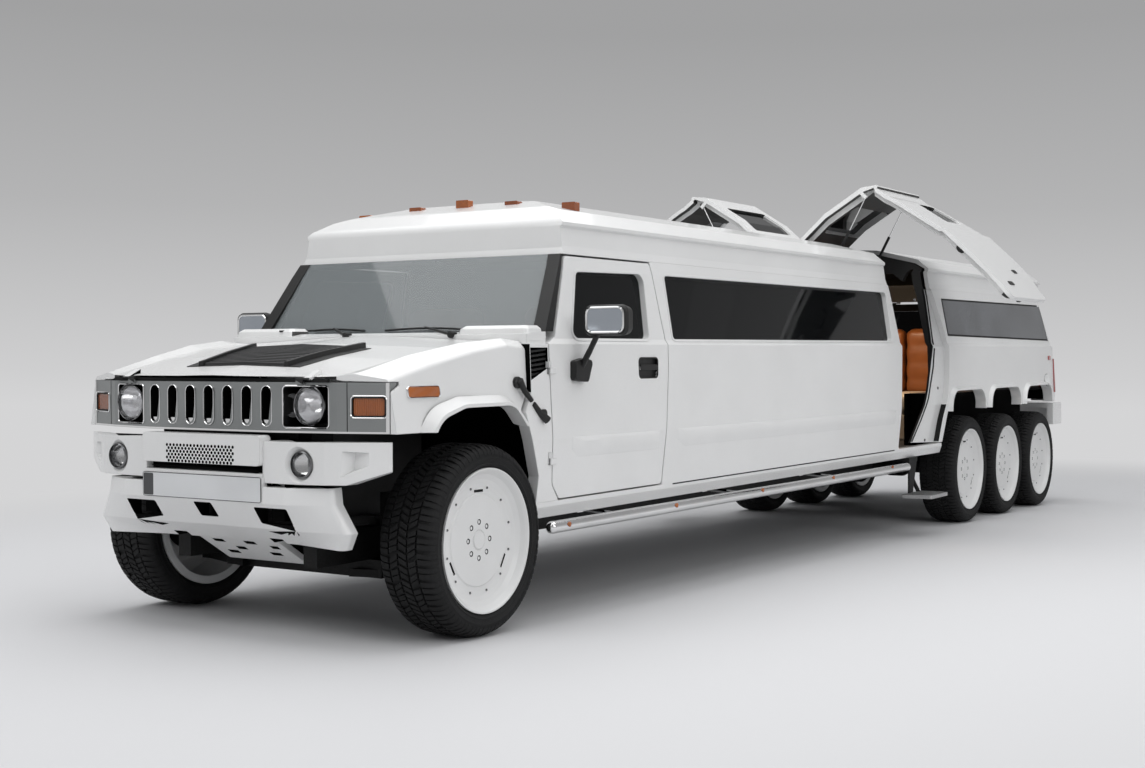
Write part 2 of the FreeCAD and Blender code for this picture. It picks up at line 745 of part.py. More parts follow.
# ----------------------------------------------------------------- gull doors
GULL_ROWS = [
    (GULL - 45 + GULL_GAP, GULL_LOW, 60),
    (GULL + 38 + GULL_GAP, BELT - 19, 400),
    (GULL + 15 + GULL_GAP, GUTTER, 0),
    (GULL + 15 + GULL_GAP, CROWN + 60, 0),
    (GULL_END - 10, CROWN + 60, 0),
    (GULL_END - 10, GUTTER - 6, 20),
    (GULL_END + 147, BELT + 26, 380),
    (GULL_END + 105, SILL + 511, 480),
    (GULL_END - 48, SILL + 250, 300),
    (GULL_END - 130, GULL_LOW, 70),
]
GULL_WINDOW = [
    (GULL_END - 385, GUTTER - 272, 40),
    (GULL_END - 385, GUTTER - 12, 40),
    (GULL_END - 70, GUTTER - 12, 40),
    (GULL_END + 20, GUTTER - 272, 60),
]
GULL_ROOF_WINDOW = [
    (size("gull_hinge_x") + 180, GULL + 135, 30),
    (HALF - 380, GULL + 135, 30),
    (HALF - 380, GULL_END - 115, 30),
    (size("gull_hinge_x") + 180, GULL_END - 115, 30),
]


def gull_section(drop, low=GULL_LOW):
    """Half section through side and roof: x, z from sill to hinge."""
    side = [(x - drop, z) for x, z in SIDE_SECTION if z > low]
    side = [(reach(SIDE_SECTION, low) - drop, low)] + side
    roof = [(x - drop, z) for x, z in ROOF_SECTION[1:5]]
    roof += [(x - drop * 0.7, z - drop) for x, z in ROOF_SECTION[5:7]]
    x_hinge = size("gull_hinge_x") + GULL_GAP
    slope = (CROWN - ROOF_SECTION[6][1]) / ROOF_SECTION[6][0]
    roof += [(x_hinge, CROWN - slope * x_hinge - drop)]
    return side + roof


def gull_band(drop, thickness, low=GULL_LOW):
    """Closed X-Z band under the door's outer face."""
    return gull_section(drop, low) + list(reversed(gull_section(drop + thickness, low)))


def make_gull_door():
    """One door of side and roof: a rimmed skin with a deeper box inside the seal."""
    skin = drawn("y", gull_band(0, size("flange")), GULL - 100, GULL_END + 250)
    door = skin.common(drawn("x", GULL_ROWS, 0, HALF + 100))
    inner = [
        (GULL + 20, GULL_LOW + 60, 60),
        (GULL + 90, BELT, 200),
        (GULL + 90, CROWN + 60, 0),
        (GULL_END - 110, CROWN + 60, 0),
        (GULL_END - 120, BELT + 26, 300),
        (GULL_END - 330, SILL + 450, 300),
        (GULL_END - 560, GULL_LOW + 60, 100),
    ]
    box = drawn("y", gull_band(20, 45, GULL_LOW + 40), GULL - 100, GULL_END + 250)
    door = door.fuse(box.common(drawn("x", inner, 0, HALF + 100)))
    door = door.cut([window_hole(GULL_WINDOW), drawn("z", GULL_ROOF_WINDOW, LIP, CROWN + 200)])
    x, z = STRUT_TOP_CLOSED
    pieces = []
    for y in STRUT_Y:
        lug = drawn("y", [(x - 14, z - 14), (x + 14, z - 14), (x + 14, z + 60), (x - 14, z + 60)],
                    y - 20, y - 12)
        pieces.append(lug.common(drawn("y", gull_section(0) + [(100, GUTTER)], y - 30, y)))
        pieces.append(rod(V(x, y - 16, z), V(x, y - 6.3, z), 5))
    for start, width in GULL_KNUCKLES:
        pieces.append(gull_knuckle(start + width + SEAT, width, size("gull_hinge_x") + 70))
    return door.fuse(pieces)


def make_gull_glass():
    gap = size("glass_gap")
    band = drawn("y", gull_band(size("flange") / 2, size("glass_thickness")), GULL, GULL_END + 200)
    side_face = Part.Face(outline("x", GULL_WINDOW, HALF - 300)).makeOffset2D(-gap)
    roof_face = Part.Face(outline("z", GULL_ROOF_WINDOW, LIP)).makeOffset2D(-gap)
    side = band.common(side_face.extrude(V(400, 0, 0)))
    top = band.common(roof_face.extrude(V(0, 0, 300)))
    return Part.makeCompound([side, top])


# ----------------------------------------------------------------- bonnet
HINGE_Y = NOSE + 84
HINGE_Z = PANEL_TOP + 14
BONNET_REAR = CAB - 174
BONNET_LOW = PANEL_LOW
# front panel and bonnet edge seen from above: x, y of the left half
PANEL_PLAN = [(0, NOSE + 57), (HALF - 620, NOSE + 62), (HALF - 300, NOSE + 127), (HALF - 70, NOSE + 206)]
# each section: y, middle height, valley inset and height, crest inset and height,
# shoulder inset and height, side inset; insets are from the body's widest line
BONNET_SECTIONS = [
    (NOSE + 50, PANEL_TOP + 22, 310, PANEL_TOP + 12, 255, PANEL_TOP + 16, 100, PANEL_TOP - 18, 58),
    (NOSE + 202, PANEL_TOP + 56, 288, PANEL_TOP + 40, 214, PANEL_TOP + 48, 75, PANEL_TOP + 12, 34),
    (-300, BELT - 72, 260, BELT - 96, 195, BELT - 78, 60, BELT - 118, 24),
    (0, BELT - 17, 215, BELT - 46, 128, BELT - 22, 45, BELT - 62, 20),
    (BONNET_REAR - 138, BELT + 10, 185, BELT - 24, 85, BELT + 2, 38, BELT - 32, 19),
    (BONNET_REAR, BELT + 23, 165, BELT - 16, 75, BELT - 12, 38, BELT - 50, 19),
]


def bonnet_rows(section, drop):
    """Cross section of the bonnet, taken inwards by drop: x, z, corner radius."""
    y, middle, valley_in, valley_z, crest_in, crest_z, shoulder_in, shoulder_z, side_in = section
    low = BONNET_LOW - (60 if drop else 0)
    left = [
        (0, middle - drop, 0),
        (HALF - valley_in - drop / 2, valley_z - drop, 40),
        (HALF - crest_in - drop / 2, crest_z - drop, 20),
        (HALF - shoulder_in - drop, shoulder_z - drop / 2, 30),
        (HALF - side_in - drop, low, 0),
    ]
    return left + [(-x, z, r) for x, z, r in reversed(left[1:])]


def bonnet_block(drop):
    """Solid below the bonnet's outer face, taken inwards by drop."""
    sections = [(section[0], bonnet_rows(section, drop)) for section in BONNET_SECTIONS]
    return loft("y", sections)


def front_arch_rows(grow=0.0, leg=0.0):
    """Opening over the front wheel: y, z, corner radius."""
    return [
        (-TYRE + 20 - grow, PANEL_LOW - 500, 0),
        (-TYRE + 75 - grow, FRONT_ARCH_TOP - 60 + grow, 150 + grow),
        (-150, FRONT_ARCH_TOP + grow, 200),
        (230, FRONT_ARCH_TOP + grow, 130 + grow),
        (TYRE - 90 + leg, FRONT_ARCH_TOP - 120 + grow, 150 + grow),
        (TYRE + 28 + leg, PANEL_LOW - 500, 0),
    ]


def bonnet_hinge():
    """The bonnet's half of its left hinge: the barrel and the arm under the shell."""
    x = size("bonnet_hinge_x")
    barrel = rod(V(x, HINGE_Y, HINGE_Z), V(x + 40, HINGE_Y, HINGE_Z), 8)
    arm = [(HINGE_Y - 4, HINGE_Z + 4), (HINGE_Y + 6, HINGE_Z - 4), (HINGE_Y + 70, HINGE_Z + 20),
           (HINGE_Y + 70, HINGE_Z + 40)]
    return barrel.fuse(drawn("x", arm, x, x + 40))


def make_bonnet():
    """Tilting shell with raised fender crests, both front arches and their lips."""
    shell = bonnet_block(0).cut(bonnet_block(SKIN))
    lip = loft("x", [(HALF - 30, front_arch_rows(50, 12)), (HALF + 24, front_arch_rows(16, 6))])
    lip = lip.common(block(HALF - 30, HALF + 40, -TYRE - 120, BONNET_REAR, BONNET_LOW, 1200))
    shell = shell.fuse([lip, other_side(lip)])
    arch = drawn("x", front_arch_rows(), -HALF - 200, HALF + 200)
    keep_rows = [
        (NOSE + 40, BONNET_LOW),
        (BONNET_REAR - 53, BONNET_LOW),
        (BONNET_REAR - 53, BONNET_LOW + 82),
        (BONNET_REAR, BONNET_LOW + 162),
        (BONNET_REAR, 1500),
        (NOSE + 40, 1500),
    ]
    shell = shell.common(drawn("x", keep_rows, -HALF - 200, HALF + 200)).cut(arch)
    plan = [
        (0, HINGE_Y - 2),
        (HALF - 500, HINGE_Y - 2),
        (HALF - 300, NOSE + 127),
        (HALF - 70, NOSE + 204),
        (HALF + 100, NOSE + 210),
        (HALF + 100, BONNET_REAR + 50),
    ]
    shell = shell.common(drawn("z", with_twin(plan)[1:] + [plan[0]], BONNET_LOW, 1500))
    under = with_twin([(0, PANEL_TOP + 26), (HALF - 380, PANEL_TOP + 24),
                       (HALF - 270, PANEL_TOP + 6), (HALF - 66, PANEL_TOP + 2),
                       (HALF - 66, BONNET_LOW - 100)])
    shell = shell.cut(drawn("y", under, NOSE, NOSE + 262))
    hinge = bonnet_hinge()
    return shell.fuse([hinge, other_side(hinge)])


# ----------------------------------------------------------------- front panel
def make_front_panel():
    """Bar with lamp housings; slots, lamp and turn lamp openings are cut through it."""
    body = doc.addObject("PartDesign::Body", "PanelBody")
    plan = plane_sketch(body, "PanelPlan", "XY_Plane")
    half = [
        ("Sizes.body_half_width - 620", "62"),
        ("Sizes.body_half_width - 300", "127"),
        ("Sizes.body_half_width - 70", "206"),
    ]
    nose = "-Sizes.tyre_radius - Sizes.nose_reach + "
    depth = " + Sizes.panel_depth"
    left = [(x, nose + y) for x, y in half]
    bucket = nose + "57 + Sizes.bucket_depth"
    out = "Sizes.headlamp_x + Sizes.headlamp_width / 2 + 9"
    inside = "Sizes.headlamp_x - Sizes.headlamp_width / 2 - 9"
    left += [
        (half[2][0], nose + "206" + depth),
        (out, bucket),
        (inside, bucket),
        (inside, nose + "72" + depth),
    ]
    right = [(f"-({x})", y) for x, y in reversed(left)]
    bound_polygon(plan, left + right)
    pad = body.newObject("PartDesign::Pad", "PanelBar")
    pad.Profile = plan
    bind(pad, Length="Sizes.panel_height")
    plan.setExpression(".AttachmentOffset.Base.z", "Sizes.panel_bottom")
    doc.recompute()

    slot = plane_sketch(body, "Slot", "XZ_Plane")
    slot.setExpression(".AttachmentOffset.Base.z", f"-({bucket} + 5)")
    left_slot = "-Sizes.slot_pitch * (Sizes.grille_slots - 1) / 2"
    level = "Sizes.panel_bottom + 116"
    rise = "(Sizes.slot_height - Sizes.slot_width) / 2"
    add_round_slot(slot, left_slot, level, "Sizes.slot_width / 2", rise)
    slot_cut = cut_forwards(body, slot, "SlotCut")
    pattern = body.newObject("PartDesign::LinearPattern", "Slots")
    pattern.Originals = [slot_cut]
    pattern.Direction = (slot, ["H_Axis"])
    bind(pattern, Length="Sizes.slot_pitch * (Sizes.grille_slots - 1)",
         Occurrences="Sizes.grille_slots")
    body.Tip = pattern
    doc.recompute()

    lamps = plane_sketch(body, "LampOpenings", "XZ_Plane")
    lamps.setExpression(".AttachmentOffset.Base.z", f"-({bucket} - 12)")
    turn = plane_sketch(body, "TurnLampOpenings", "XZ_Plane")
    turn.setExpression(".AttachmentOffset.Base.z", f"-({bucket} + 100)")
    for side in ("", "-"):
        add_window(lamps, f"{side}Sizes.headlamp_x", "Sizes.panel_bottom + 114",
                   "Sizes.headlamp_width / 2", "Sizes.headlamp_height / 2")
        add_window(turn, f"{side}Sizes.turn_lamp_x", "Sizes.panel_bottom + 116",
                   "Sizes.turn_lamp_width / 2", "Sizes.turn_lamp_height / 2")
    cut_forwards(body, lamps, "LampCut")
    doc.recompute()
    cut_forwards(body, turn, "TurnLampCut")
    doc.recompute()
    panel = doc.addObject("Part::MultiFuse", "front_panel")
    panel.Shapes = [body] + panel_hinges()
    doc.recompute()
    return panel


def panel_hinges():
    """The panel's halves of both bonnet hinges: a barrel on its foot, left and right."""
    axis_y = "-Sizes.tyre_radius - Sizes.nose_reach + 84"
    top = "Sizes.panel_bottom + Sizes.panel_height"
    halves = []
    for name, x in (("Left", "Sizes.bonnet_hinge_x - Sizes.seat_gap - 40"),
                    ("Right", "-Sizes.bonnet_hinge_x + Sizes.seat_gap")):
        barrel = doc.addObject("Part::Cylinder", f"HingeBarrel{name}")
        barrel.Placement.Rotation = FreeCAD.Rotation(V(0, 1, 0), 90)
        bind(barrel, Radius="8 mm", Height="40 mm")
        for path, text in ((".Placement.Base.x", x), (".Placement.Base.y", axis_y),
                           (".Placement.Base.z", f"{top} + 14")):
            barrel.setExpression(path, text)
        foot = box_item(f"HingeFoot{name}", x, f"{axis_y} - 6", f"{top} - 8", "40", "12", "22")
        halves += [barrel, foot]
    return halves


def cut_forwards(body, item, name):
    """Pocket from a sketch through everything in front of it."""
    pocket = body.newObject("PartDesign::Pocket", name)
    pocket.Profile = item
    pocket.Type = "ThroughAll"
    pocket.Reversed = True
    body.Tip = pocket
    doc.recompute()
    return pocket


def add_window(item, x, z, half_width, half_height):
    """Upright rectangle about a centre given by expressions."""
    rows = [
        (f"{x} - {half_width}", f"{z} - {half_height}"),
        (f"{x} + {half_width}", f"{z} - {half_height}"),
        (f"{x} + {half_width}", f"{z} + {half_height}"),
        (f"{x} - {half_width}", f"{z} + {half_height}"),
    ]
    return bound_polygon(item, rows)


def add_round_slot(item, x, z, radius, rise):
    """Upright slot with round ends about a centre given by expressions."""
    start = item.GeometryCount
    top = Part.ArcOfCircle(Part.Circle(V(0, 60, 0), V(0, 0, 1), 20), 0, math.pi)
    low = Part.ArcOfCircle(Part.Circle(V(0, -60, 0), V(0, 0, 1), 20), math.pi, 2 * math.pi)
    item.addGeometry(top, False)
    item.addGeometry(low, False)
    item.addGeometry(Part.LineSegment(V(-20, 60, 0), V(-20, -60, 0)), False)
    item.addGeometry(Part.LineSegment(V(20, -60, 0), V(20, 60, 0)), False)
    for edge_a, end_a, edge_b, end_b in ((0, 2, 2, 1), (2, 2, 1, 1), (1, 2, 3, 1), (3, 2, 0, 1)):
        item.addConstraint(Sketcher.Constraint("Tangent", start + edge_a, end_a,
                                               start + edge_b, end_b))
    item.addConstraint(Sketcher.Constraint("Vertical", start + 2))
    rules = [
        (Sketcher.Constraint("Radius", start, 20.0), radius),
        (Sketcher.Constraint("DistanceX", -1, 1, start, 3, 5.0), x),
        (Sketcher.Constraint("DistanceY", -1, 1, start, 3, 60.0), f"{z} + {rise}"),
        (Sketcher.Constraint("DistanceY", -1, 1, start + 1, 3, -60.0), f"{z} - {rise}"),
    ]
    for rule, expression in rules:
        place = item.addConstraint(rule)
        item.setExpression(f"Constraints[{place}]", expression)
    return item


def nose_strip(plan, depth, z_from, z_to):
    """Bar across the nose: plan points x, y of the left half, and its depth."""
    outer = [(-x, y) for x, y in reversed(plan[1:])] + [(x, y) for x, y in plan]
    inner = [(x, y + depth) for x, y in reversed(outer)]
    return drawn("z", outer + inner, z_from, z_to)


def domed_lamp(x, z, radius, y_back, y_front, dome):
    """Round lamp along the length of the vehicle with a domed lens."""
    ball_radius = (radius ** 2 + dome ** 2) / (2 * dome)
    ball = Part.makeSphere(ball_radius, V(x, y_front - dome + ball_radius, z))
    body = rod(V(x, y_front - dome - 1, z), V(x, y_back, z), radius)
    return body.common(ball.fuse(rod(V(x, y_front, z), V(x, y_back, z), radius)))


def make_headlamps():
    """Headlamps on the back plates of their housings and fog lamps in the bumper."""
    back = BUCKET_BACK - 12 - SEAT
    lamp = domed_lamp(size("headlamp_x") + 14, LAMP_LEVEL, size("headlamp_radius"), back,
                      NOSE + 104, 14)
    fog = domed_lamp(size("fog_lamp_x"), FOG_LEVEL, size("fog_lamp_radius"), NOSE + 102,
                     NOSE + 44, 8)
    return Part.makeCompound([lamp, other_side(lamp), fog, other_side(fog)])


def make_amber_lamps():
    """Turn lamps in the front panel and five marker lamps on the roof."""
    low = LAMP_LEVEL - 3 - size("turn_lamp_height") / 2 + SEAT
    high = low + size("turn_lamp_height") - 2 * SEAT
    half = size("turn_lamp_width") / 2 - SEAT
    middle = size("turn_lamp_x")
    turn = block(middle - half, middle + half, NOSE, NOSE + 270, low, high)
    plan = [(x, y + 4) for x, y in PANEL_PLAN]
    turn = turn.common(nose_strip(plan, 34, low - 5, high + 5))
    solids = [turn, other_side(turn)]
    under = roof_block(-SEAT, ROOF_SIDE)
    for x in (0, 330, 700):
        level = CROWN - 24 - x * 0.07
        lamp = drawn("y", framed(x - 42, x + 42, level - 30, level + 22, 6),
                     FRAME_HEAD[0] + 350, FRAME_HEAD[0] + 395)
        lamp = lamp.cut(under)
        solids.append(lamp)
        if x:
            solids.append(other_side(lamp))
    return Part.makeCompound(solids)


# ----------------------------------------------------------------- front bumper
FOG_LEVEL = PANEL_LOW - 132
BAR_LOW = PANEL_LOW - 218
BAR_TOP = PANEL_LOW - 35
BUMPER_BACK = NOSE + 182
BUCKET_BACK = NOSE + 57 + size("bucket_depth")
# lower apron: z, y at the middle, knee x and y, end x and y
APRON_SECTIONS = [
    (BAR_LOW - 16, NOSE + 7, HALF - 500, NOSE + 12, HALF - 300, NOSE + 97),
    (BAR_LOW - 90, NOSE + 4, HALF - 500, NOSE + 9, HALF - 288, NOSE + 94),
    (BAR_LOW - 210, NOSE + 97, HALF - 500, NOSE + 84, HALF - 215, NOSE + 104),
    (BAR_LOW - 285, NOSE + 212, HALF - 580, NOSE + 192, HALF - 255, NOSE + 112),
]


def apron_rows(section):
    """Plan of the apron at one height: x, y, corner radius."""
    z, y_mid, knee_x, knee_y, end_x, end_y = section
    back = max(y_mid, knee_y) + 60
    front = [(0, y_mid, 0), (knee_x, knee_y, 60), (end_x, end_y, 30)]
    left = front + [(end_x - 10, end_y + 70, 0), (knee_x, max(back, end_y + 70), 0)]
    return left + [(-x, y, r) for x, y, r in reversed(left[1:])]


def make_front_bumper():
    """Side blocks with slanted ends, centre panel, apron with vents and skid plate."""
    plan = [
        (HALF - 635, NOSE + 22, 0),
        (HALF - 440, NOSE + 26, 0),
        (HALF - 311, NOSE + 57, 40),
        (HALF - 203, NOSE + 112, 30),
        (HALF - 50, NOSE + 203, 12),
        (HALF - 80, NOSE + 226, 0),
        (HALF - 260, BUMPER_BACK - 20, 0),
        (HALF - 635, BUMPER_BACK, 0),
    ]
    side = drawn("z", plan, BAR_LOW, BAR_TOP)
    taper = drawn("y", [(HALF - 240, BAR_LOW - 5), (HALF + 50, BAR_LOW - 5),
                        (HALF + 50, BAR_LOW + 96)], NOSE, NOSE + 300)
    recess = loft("y", [
        (NOSE + 60, [(HALF - 260, BAR_LOW + 18), (HALF - 95, BAR_LOW + 76),
                     (HALF - 95, BAR_LOW + 154), (HALF - 255, BAR_LOW + 150)]),
        (NOSE + 150, [(HALF - 225, BAR_LOW + 62), (HALF - 120, BAR_LOW + 92),
                      (HALF - 120, BAR_LOW + 140), (HALF - 215, BAR_LOW + 136)]),
    ])
    fog_x = size("fog_lamp_x")
    fog_room = size("fog_lamp_radius") + SEAT
    bore = rod(V(fog_x, NOSE, FOG_LEVEL), V(fog_x, NOSE + 102 + SEAT, FOG_LEVEL), fog_room)
    bevel = Part.makeCone(fog_room + 26, fog_room, 26, V(fog_x, NOSE + 20, FOG_LEVEL), V(0, 1, 0))
    side = side.cut([taper, recess, bore, bevel])
    half = HALF - 632
    centre = drawn("y", framed(-half, half, PANEL_LOW - 145, PANEL_LOW - 11, 20), NOSE, NOSE + 70)
    spine = block(-half, half, NOSE + 60, BUMPER_BACK, BAR_LOW, BAR_TOP)
    ledge = block(-half, half, NOSE + 16, NOSE + 90, BAR_LOW, BAR_LOW + 40)
    apron = loft("z", [(section[0], apron_rows(section)) for section in APRON_SECTIONS])
    hollow = block(-HALF + 340, HALF - 340, NOSE + 110, NOSE + 182, BAR_LOW - 200, BAR_LOW - 60)
    vents = [
        drawn("y", framed(310, 502, BAR_LOW - 184, BAR_LOW - 108, 8), NOSE - 10, NOSE + 250),
        drawn("y", framed(-502, -310, BAR_LOW - 184, BAR_LOW - 108, 8), NOSE - 10, NOSE + 250),
        drawn("y", framed(-55, 55, BAR_LOW - 168, BAR_LOW - 100, 8), NOSE - 10, NOSE + 250),
        drawn("y", framed(-345, -262, BAR_LOW - 300, BAR_LOW - 262, 4), NOSE - 10, NOSE + 350),
        drawn("y", framed(262, 345, BAR_LOW - 300, BAR_LOW - 262, 4), NOSE - 10, NOSE + 350),
    ]
    skid_rows = [
        (NOSE + 200, BAR_LOW - 274),
        (NOSE + 236, BAR_LOW - 290),
        (NOSE + 428, BAR_LOW - 412),
        (NOSE + 440, BAR_LOW - 390),
        (NOSE + 250, BAR_LOW - 266),
        (NOSE + 210, BAR_LOW - 250),
    ]
    skid = drawn("x", skid_rows, -250, 250)
    holes = []
    for x, y, half in ((-150, NOSE + 262, 34), (50, NOSE + 262, 34), (180, NOSE + 290, 26),
                       (-60, NOSE + 320, 30), (130, NOSE + 352, 34), (-150, NOSE + 362, 34)):
        holes.append(block(x - half, x + half, y - 13, y + 13, BAR_LOW - 460, BAR_LOW - 250))
    plate_face = block(-374, 374, NOSE + 6, NOSE + 40, BAR_LOW - 88, BAR_LOW + 26)
    rail = size("rail_x")
    horn = block(rail - 38, rail + 38, NOSE + 80, BUCKET_BACK, BAR_LOW - 170, BAR_LOW + 100)
    rail_room = block(RAIL_IN - GAP, UPRIGHT[1] + GAP, BUCKET_BACK - GAP, 0, BAR_LOW - 460,
                      BAR_LOW)
    apron = apron.cut([hollow, rail_room, other_side(rail_room)] + vents)
    body = side.fuse([other_side(side), centre, spine, ledge, plate_face, apron,
                      skid.cut(holes), horn, other_side(horn)])
    return body


# ----------------------------------------------------------------- cab frame
def make_cab_frame():
    """Cheeks before the front doors, cowl with its two bumps, and the firewall."""
    cheek_rows = [
        (BONNET_REAR + GAP, BONNET_LOW + 158),
        (BONNET_REAR + GAP, BELT - 27),
        (CAB - GAP, BELT - 27),
        (CAB + 18 - GAP, DOOR_LOW + 72, 60),
        (CAB + 83 - GAP, DOOR_LOW - GAP),
        (CAB - 120, DOOR_LOW - GAP),
        (CAB - 102, DOOR_LOW + 122),
        (BONNET_REAR - 40, BONNET_LOW + 62),
    ]
    cheek = side_wall(cheek_rows)
    louvre = [
        (BONNET_REAR + GAP + 4, BELT - 200),
        (CAB - 14, BELT - 142),
        (CAB - 14, BELT - 44),
        (BONNET_REAR + GAP + 4, BELT - 44),
    ]
    louvre_cut = drawn("x", louvre, HALF - 44, HALF + 50)
    arch = drawn("x", front_arch_rows(), HALF - 200, HALF + 200)
    cowl_rows = [
        (BONNET_REAR + GAP, BELT - 62),
        (BONNET_REAR + GAP, BELT + 21),
        (BONNET_REAR + 80, BELT + 34),
        (CAB - 2, BELT + 34),
        (CAB - 2, BELT - 62),
    ]
    cowl = drawn("x", cowl_rows, -HALF + 33, HALF - 33)
    bump = loft("z", [
        (BELT - 10, framed(540, HALF - 32, BONNET_REAR + 12, CAB - 14, 24)),
        (BELT + 48, framed(550, HALF - 40, BONNET_REAR + 22, CAB - 16, 24)),
        (BELT + 64, framed(572, HALF - 62, BONNET_REAR + 44, CAB - 20, 20)),
    ])
    firewall = block(-HALF + 100, HALF - 100, CAB - 12, CAB + 18, FLOOR + 40, BELT - 22)
    hinges = [door_hinge(level, CAB - 27, True) for level in HINGE_HEIGHTS]
    notches = [block(HALF - 30, HALF + 10, CAB - 22, CAB + 28, level - 11, level + 20)
               for level in HINGE_HEIGHTS]
    tie = block(HALF - 130, HALF - 40, CAB - 60, CAB - 12, BELT - 250, BELT - 62)
    cheek = cheek.cut([arch, steered_room(), louvre_cut] + notches).fuse(hinges + [tie])
    return firewall.fuse([cheek, other_side(cheek), cowl, bump, other_side(bump)])


def glass_plane_rows(front, thickness, z_low, z_high):
    """Side view of a slab that lies in the windscreen's plane."""
    slope = (FRAME_HEAD[0] - FRAME_FOOT[0]) / (FRAME_HEAD[1] - FRAME_FOOT[1])
    y_low = FRAME_FOOT[0] + slope * (z_low - FRAME_FOOT[1]) + front
    y_high = FRAME_FOOT[0] + slope * (z_high - FRAME_FOOT[1]) + front
    return [(y_low, z_low), (y_high, z_high), (y_high + thickness, z_high),
            (y_low + thickness, z_low)]


def windscreen_half(height, inset):
    """Half width of the windscreen's opening at a height."""
    return reach(SIDE_SECTION, height) - size("pillar") - inset


def make_windscreen_frame():
    """Black pillars, header and foot round the windscreen."""
    slab = side_wall([
        (FRAME_FOOT[0], BELT + 36),
        (FRAME_HEAD[0], GUTTER),
        (CAB + 292, GUTTER),
        (CAB + 276, GUTTER - 12),
        (CAB + 76, BELT + 36),
    ], 0, 0, size("pillar"))
    header = drawn("x", glass_plane_rows(12, 50, GUTTER - 34, GUTTER), -HALF + 180, HALF - 180)
    foot_rows = [(CAB + 2, BELT - 22 + SEAT), (CAB + 48, BELT - 22 + SEAT),
                 (CAB + 84, BELT + 60), (CAB + 58, BELT + 60)]
    foot = drawn("x", foot_rows, -HALF + 100, HALF - 100)
    return header.fuse([slab, other_side(slab), foot])


def make_windscreen():
    low = BELT + 36
    rows = [(windscreen_half(low, SEAT), low), (windscreen_half(GUTTER - 70, SEAT), GUTTER - 70),
            (windscreen_half(GUTTER, SEAT), GUTTER - SEAT)]
    front = drawn("y", with_twin(rows), CAB - 50, CAB + 400)
    return front.common(drawn("x", glass_plane_rows(3, 9 - SEAT, low, GUTTER), -HALF, HALF))


# ----------------------------------------------------------------- floor and frame
FLOOR_END = TAIL - 152


def make_floor():
    """Floor pan, the narrow rear floor between the wheel houses, and the bulkhead."""
    house_low = REAR_ARCH_TOP - 47
    house_top = REAR_ARCH_TOP - 22
    inside = 680
    pan = block(-HALF + 100, HALF - 100, CAB + 18 + SEAT, GULL_END + 13, FLOOR, FLOOR_TOP)
    rear = block(-inside, inside, GULL_END + 5, FLOOR_END, FLOOR, FLOOR_TOP)
    house = block(inside, HALF - 75, GULL_END + 80, FLOOR_END, house_low, house_top)
    inner = block(inside - 20, inside + 5, GULL_END + 5, FLOOR_END, FLOOR, house_top)
    front = block(inside, HALF - 100, GULL_END + 80, GULL_END + 95, FLOOR, house_low + 10)
    end = block(-HALF + 75, HALF - 75, FLOOR_END - 28, FLOOR_END, TOOTH_LOW + 20, house_top)
    tail = block(-inside, inside, FLOOR_END - 28, FLOOR_END, FLOOR, house_top)
    bulkhead = drawn("y", cabin_rows(1), DOOR_END + 12, DOOR_END + 40)
    bulkhead = bulkhead.common(block(-HALF, HALF, DOOR_END, DOOR_END + 50, FLOOR, GUTTER - 12))
    return pan.fuse([rear, house, other_side(house), inner, other_side(inner),
                     front, other_side(front), end, tail, bulkhead])


RAIL_FRONT = BUCKET_BACK + 60
RAIL_JOINT = GULL_END - 115
REAR_RAIL_TOP = FLOOR - SEAT
REAR_RAIL_LOW = REAR_RAIL_TOP - size("rear_rail_height")
UPRIGHT = (390, 470)
OUTRIGGER_GAPS = int(size("outrigger_count")) - 1
OUTRIGGER_PITCH = (GULL + 115 - CAB - 628) / OUTRIGGER_GAPS
OUTRIGGERS = [CAB + 628 + i * OUTRIGGER_PITCH for i in range(OUTRIGGER_GAPS + 1)]
TUBE_ARM_X = 750


def make_chassis():
    """Ladder frame: rails, cross members and the outriggers that carry the floor."""
    members = []
    for side in (-1, 1):
        low_x, high_x = sorted((side * RAIL_IN, side * RAIL_OUT))
        members.append(block(low_x, high_x, RAIL_FRONT, RAIL_JOINT, RAIL_LOW, RAIL_TOP))
        members.append(block(low_x, high_x, RAIL_JOINT, TAIL + 8, REAR_RAIL_LOW, REAR_RAIL_TOP))
        low_x, high_x = sorted((side * UPRIGHT[0], side * UPRIGHT[1]))
        members.append(block(low_x, high_x, BUCKET_BACK + SEAT, RAIL_FRONT + 80, RAIL_TOP,
                             PANEL_LOW + 50))
    for y in [-300] + [front + OUTRIGGER_PITCH / 2 for front in OUTRIGGERS[:-1]]:
        members.append(block(-RAIL_IN, RAIL_IN, y - 40, y + 40, RAIL_LOW + 20, RAIL_TOP - 20))
    for y in (FIRST_REAR + REAR_PITCH / 2, TAIL - 92):
        members.append(block(-RAIL_IN, RAIL_IN, y - 40, y + 40, REAR_RAIL_LOW, REAR_RAIL_TOP))
    for y in OUTRIGGERS:
        members.append(block(-TUBE_ARM_X, TUBE_ARM_X, y - 30, y + 30, RAIL_TOP, FLOOR - SEAT))
    return Part.makeCompound(members)


def make_front_suspension():
    """Cross member, towers and both pairs of wishbones with their ball-joint ends."""
    pin = size("kingpin_x")
    arms = []
    for side in (-1, 1):
        for z, root, half in ((262, RAIL_OUT - 95, 170), (620, RAIL_OUT + 40, 58)):
            rows = [(side * root, -half), (side * (pin - 40), -35), (side * (pin + 20), -35),
                    (side * (pin + 20), 35), (side * (pin - 40), 35), (side * root, half)]
            arms.append(drawn("z", rows, z - 18, z + 18))
    side_x = RAIL_OUT + SEAT
    cross = block(-side_x - 60, side_x + 60, -120, 120, 240, RAIL_LOW - 5)
    tower = block(side_x, side_x + 60, -60, 60, 300, 638)
    return cross.fuse(arms + [tower, other_side(tower)])


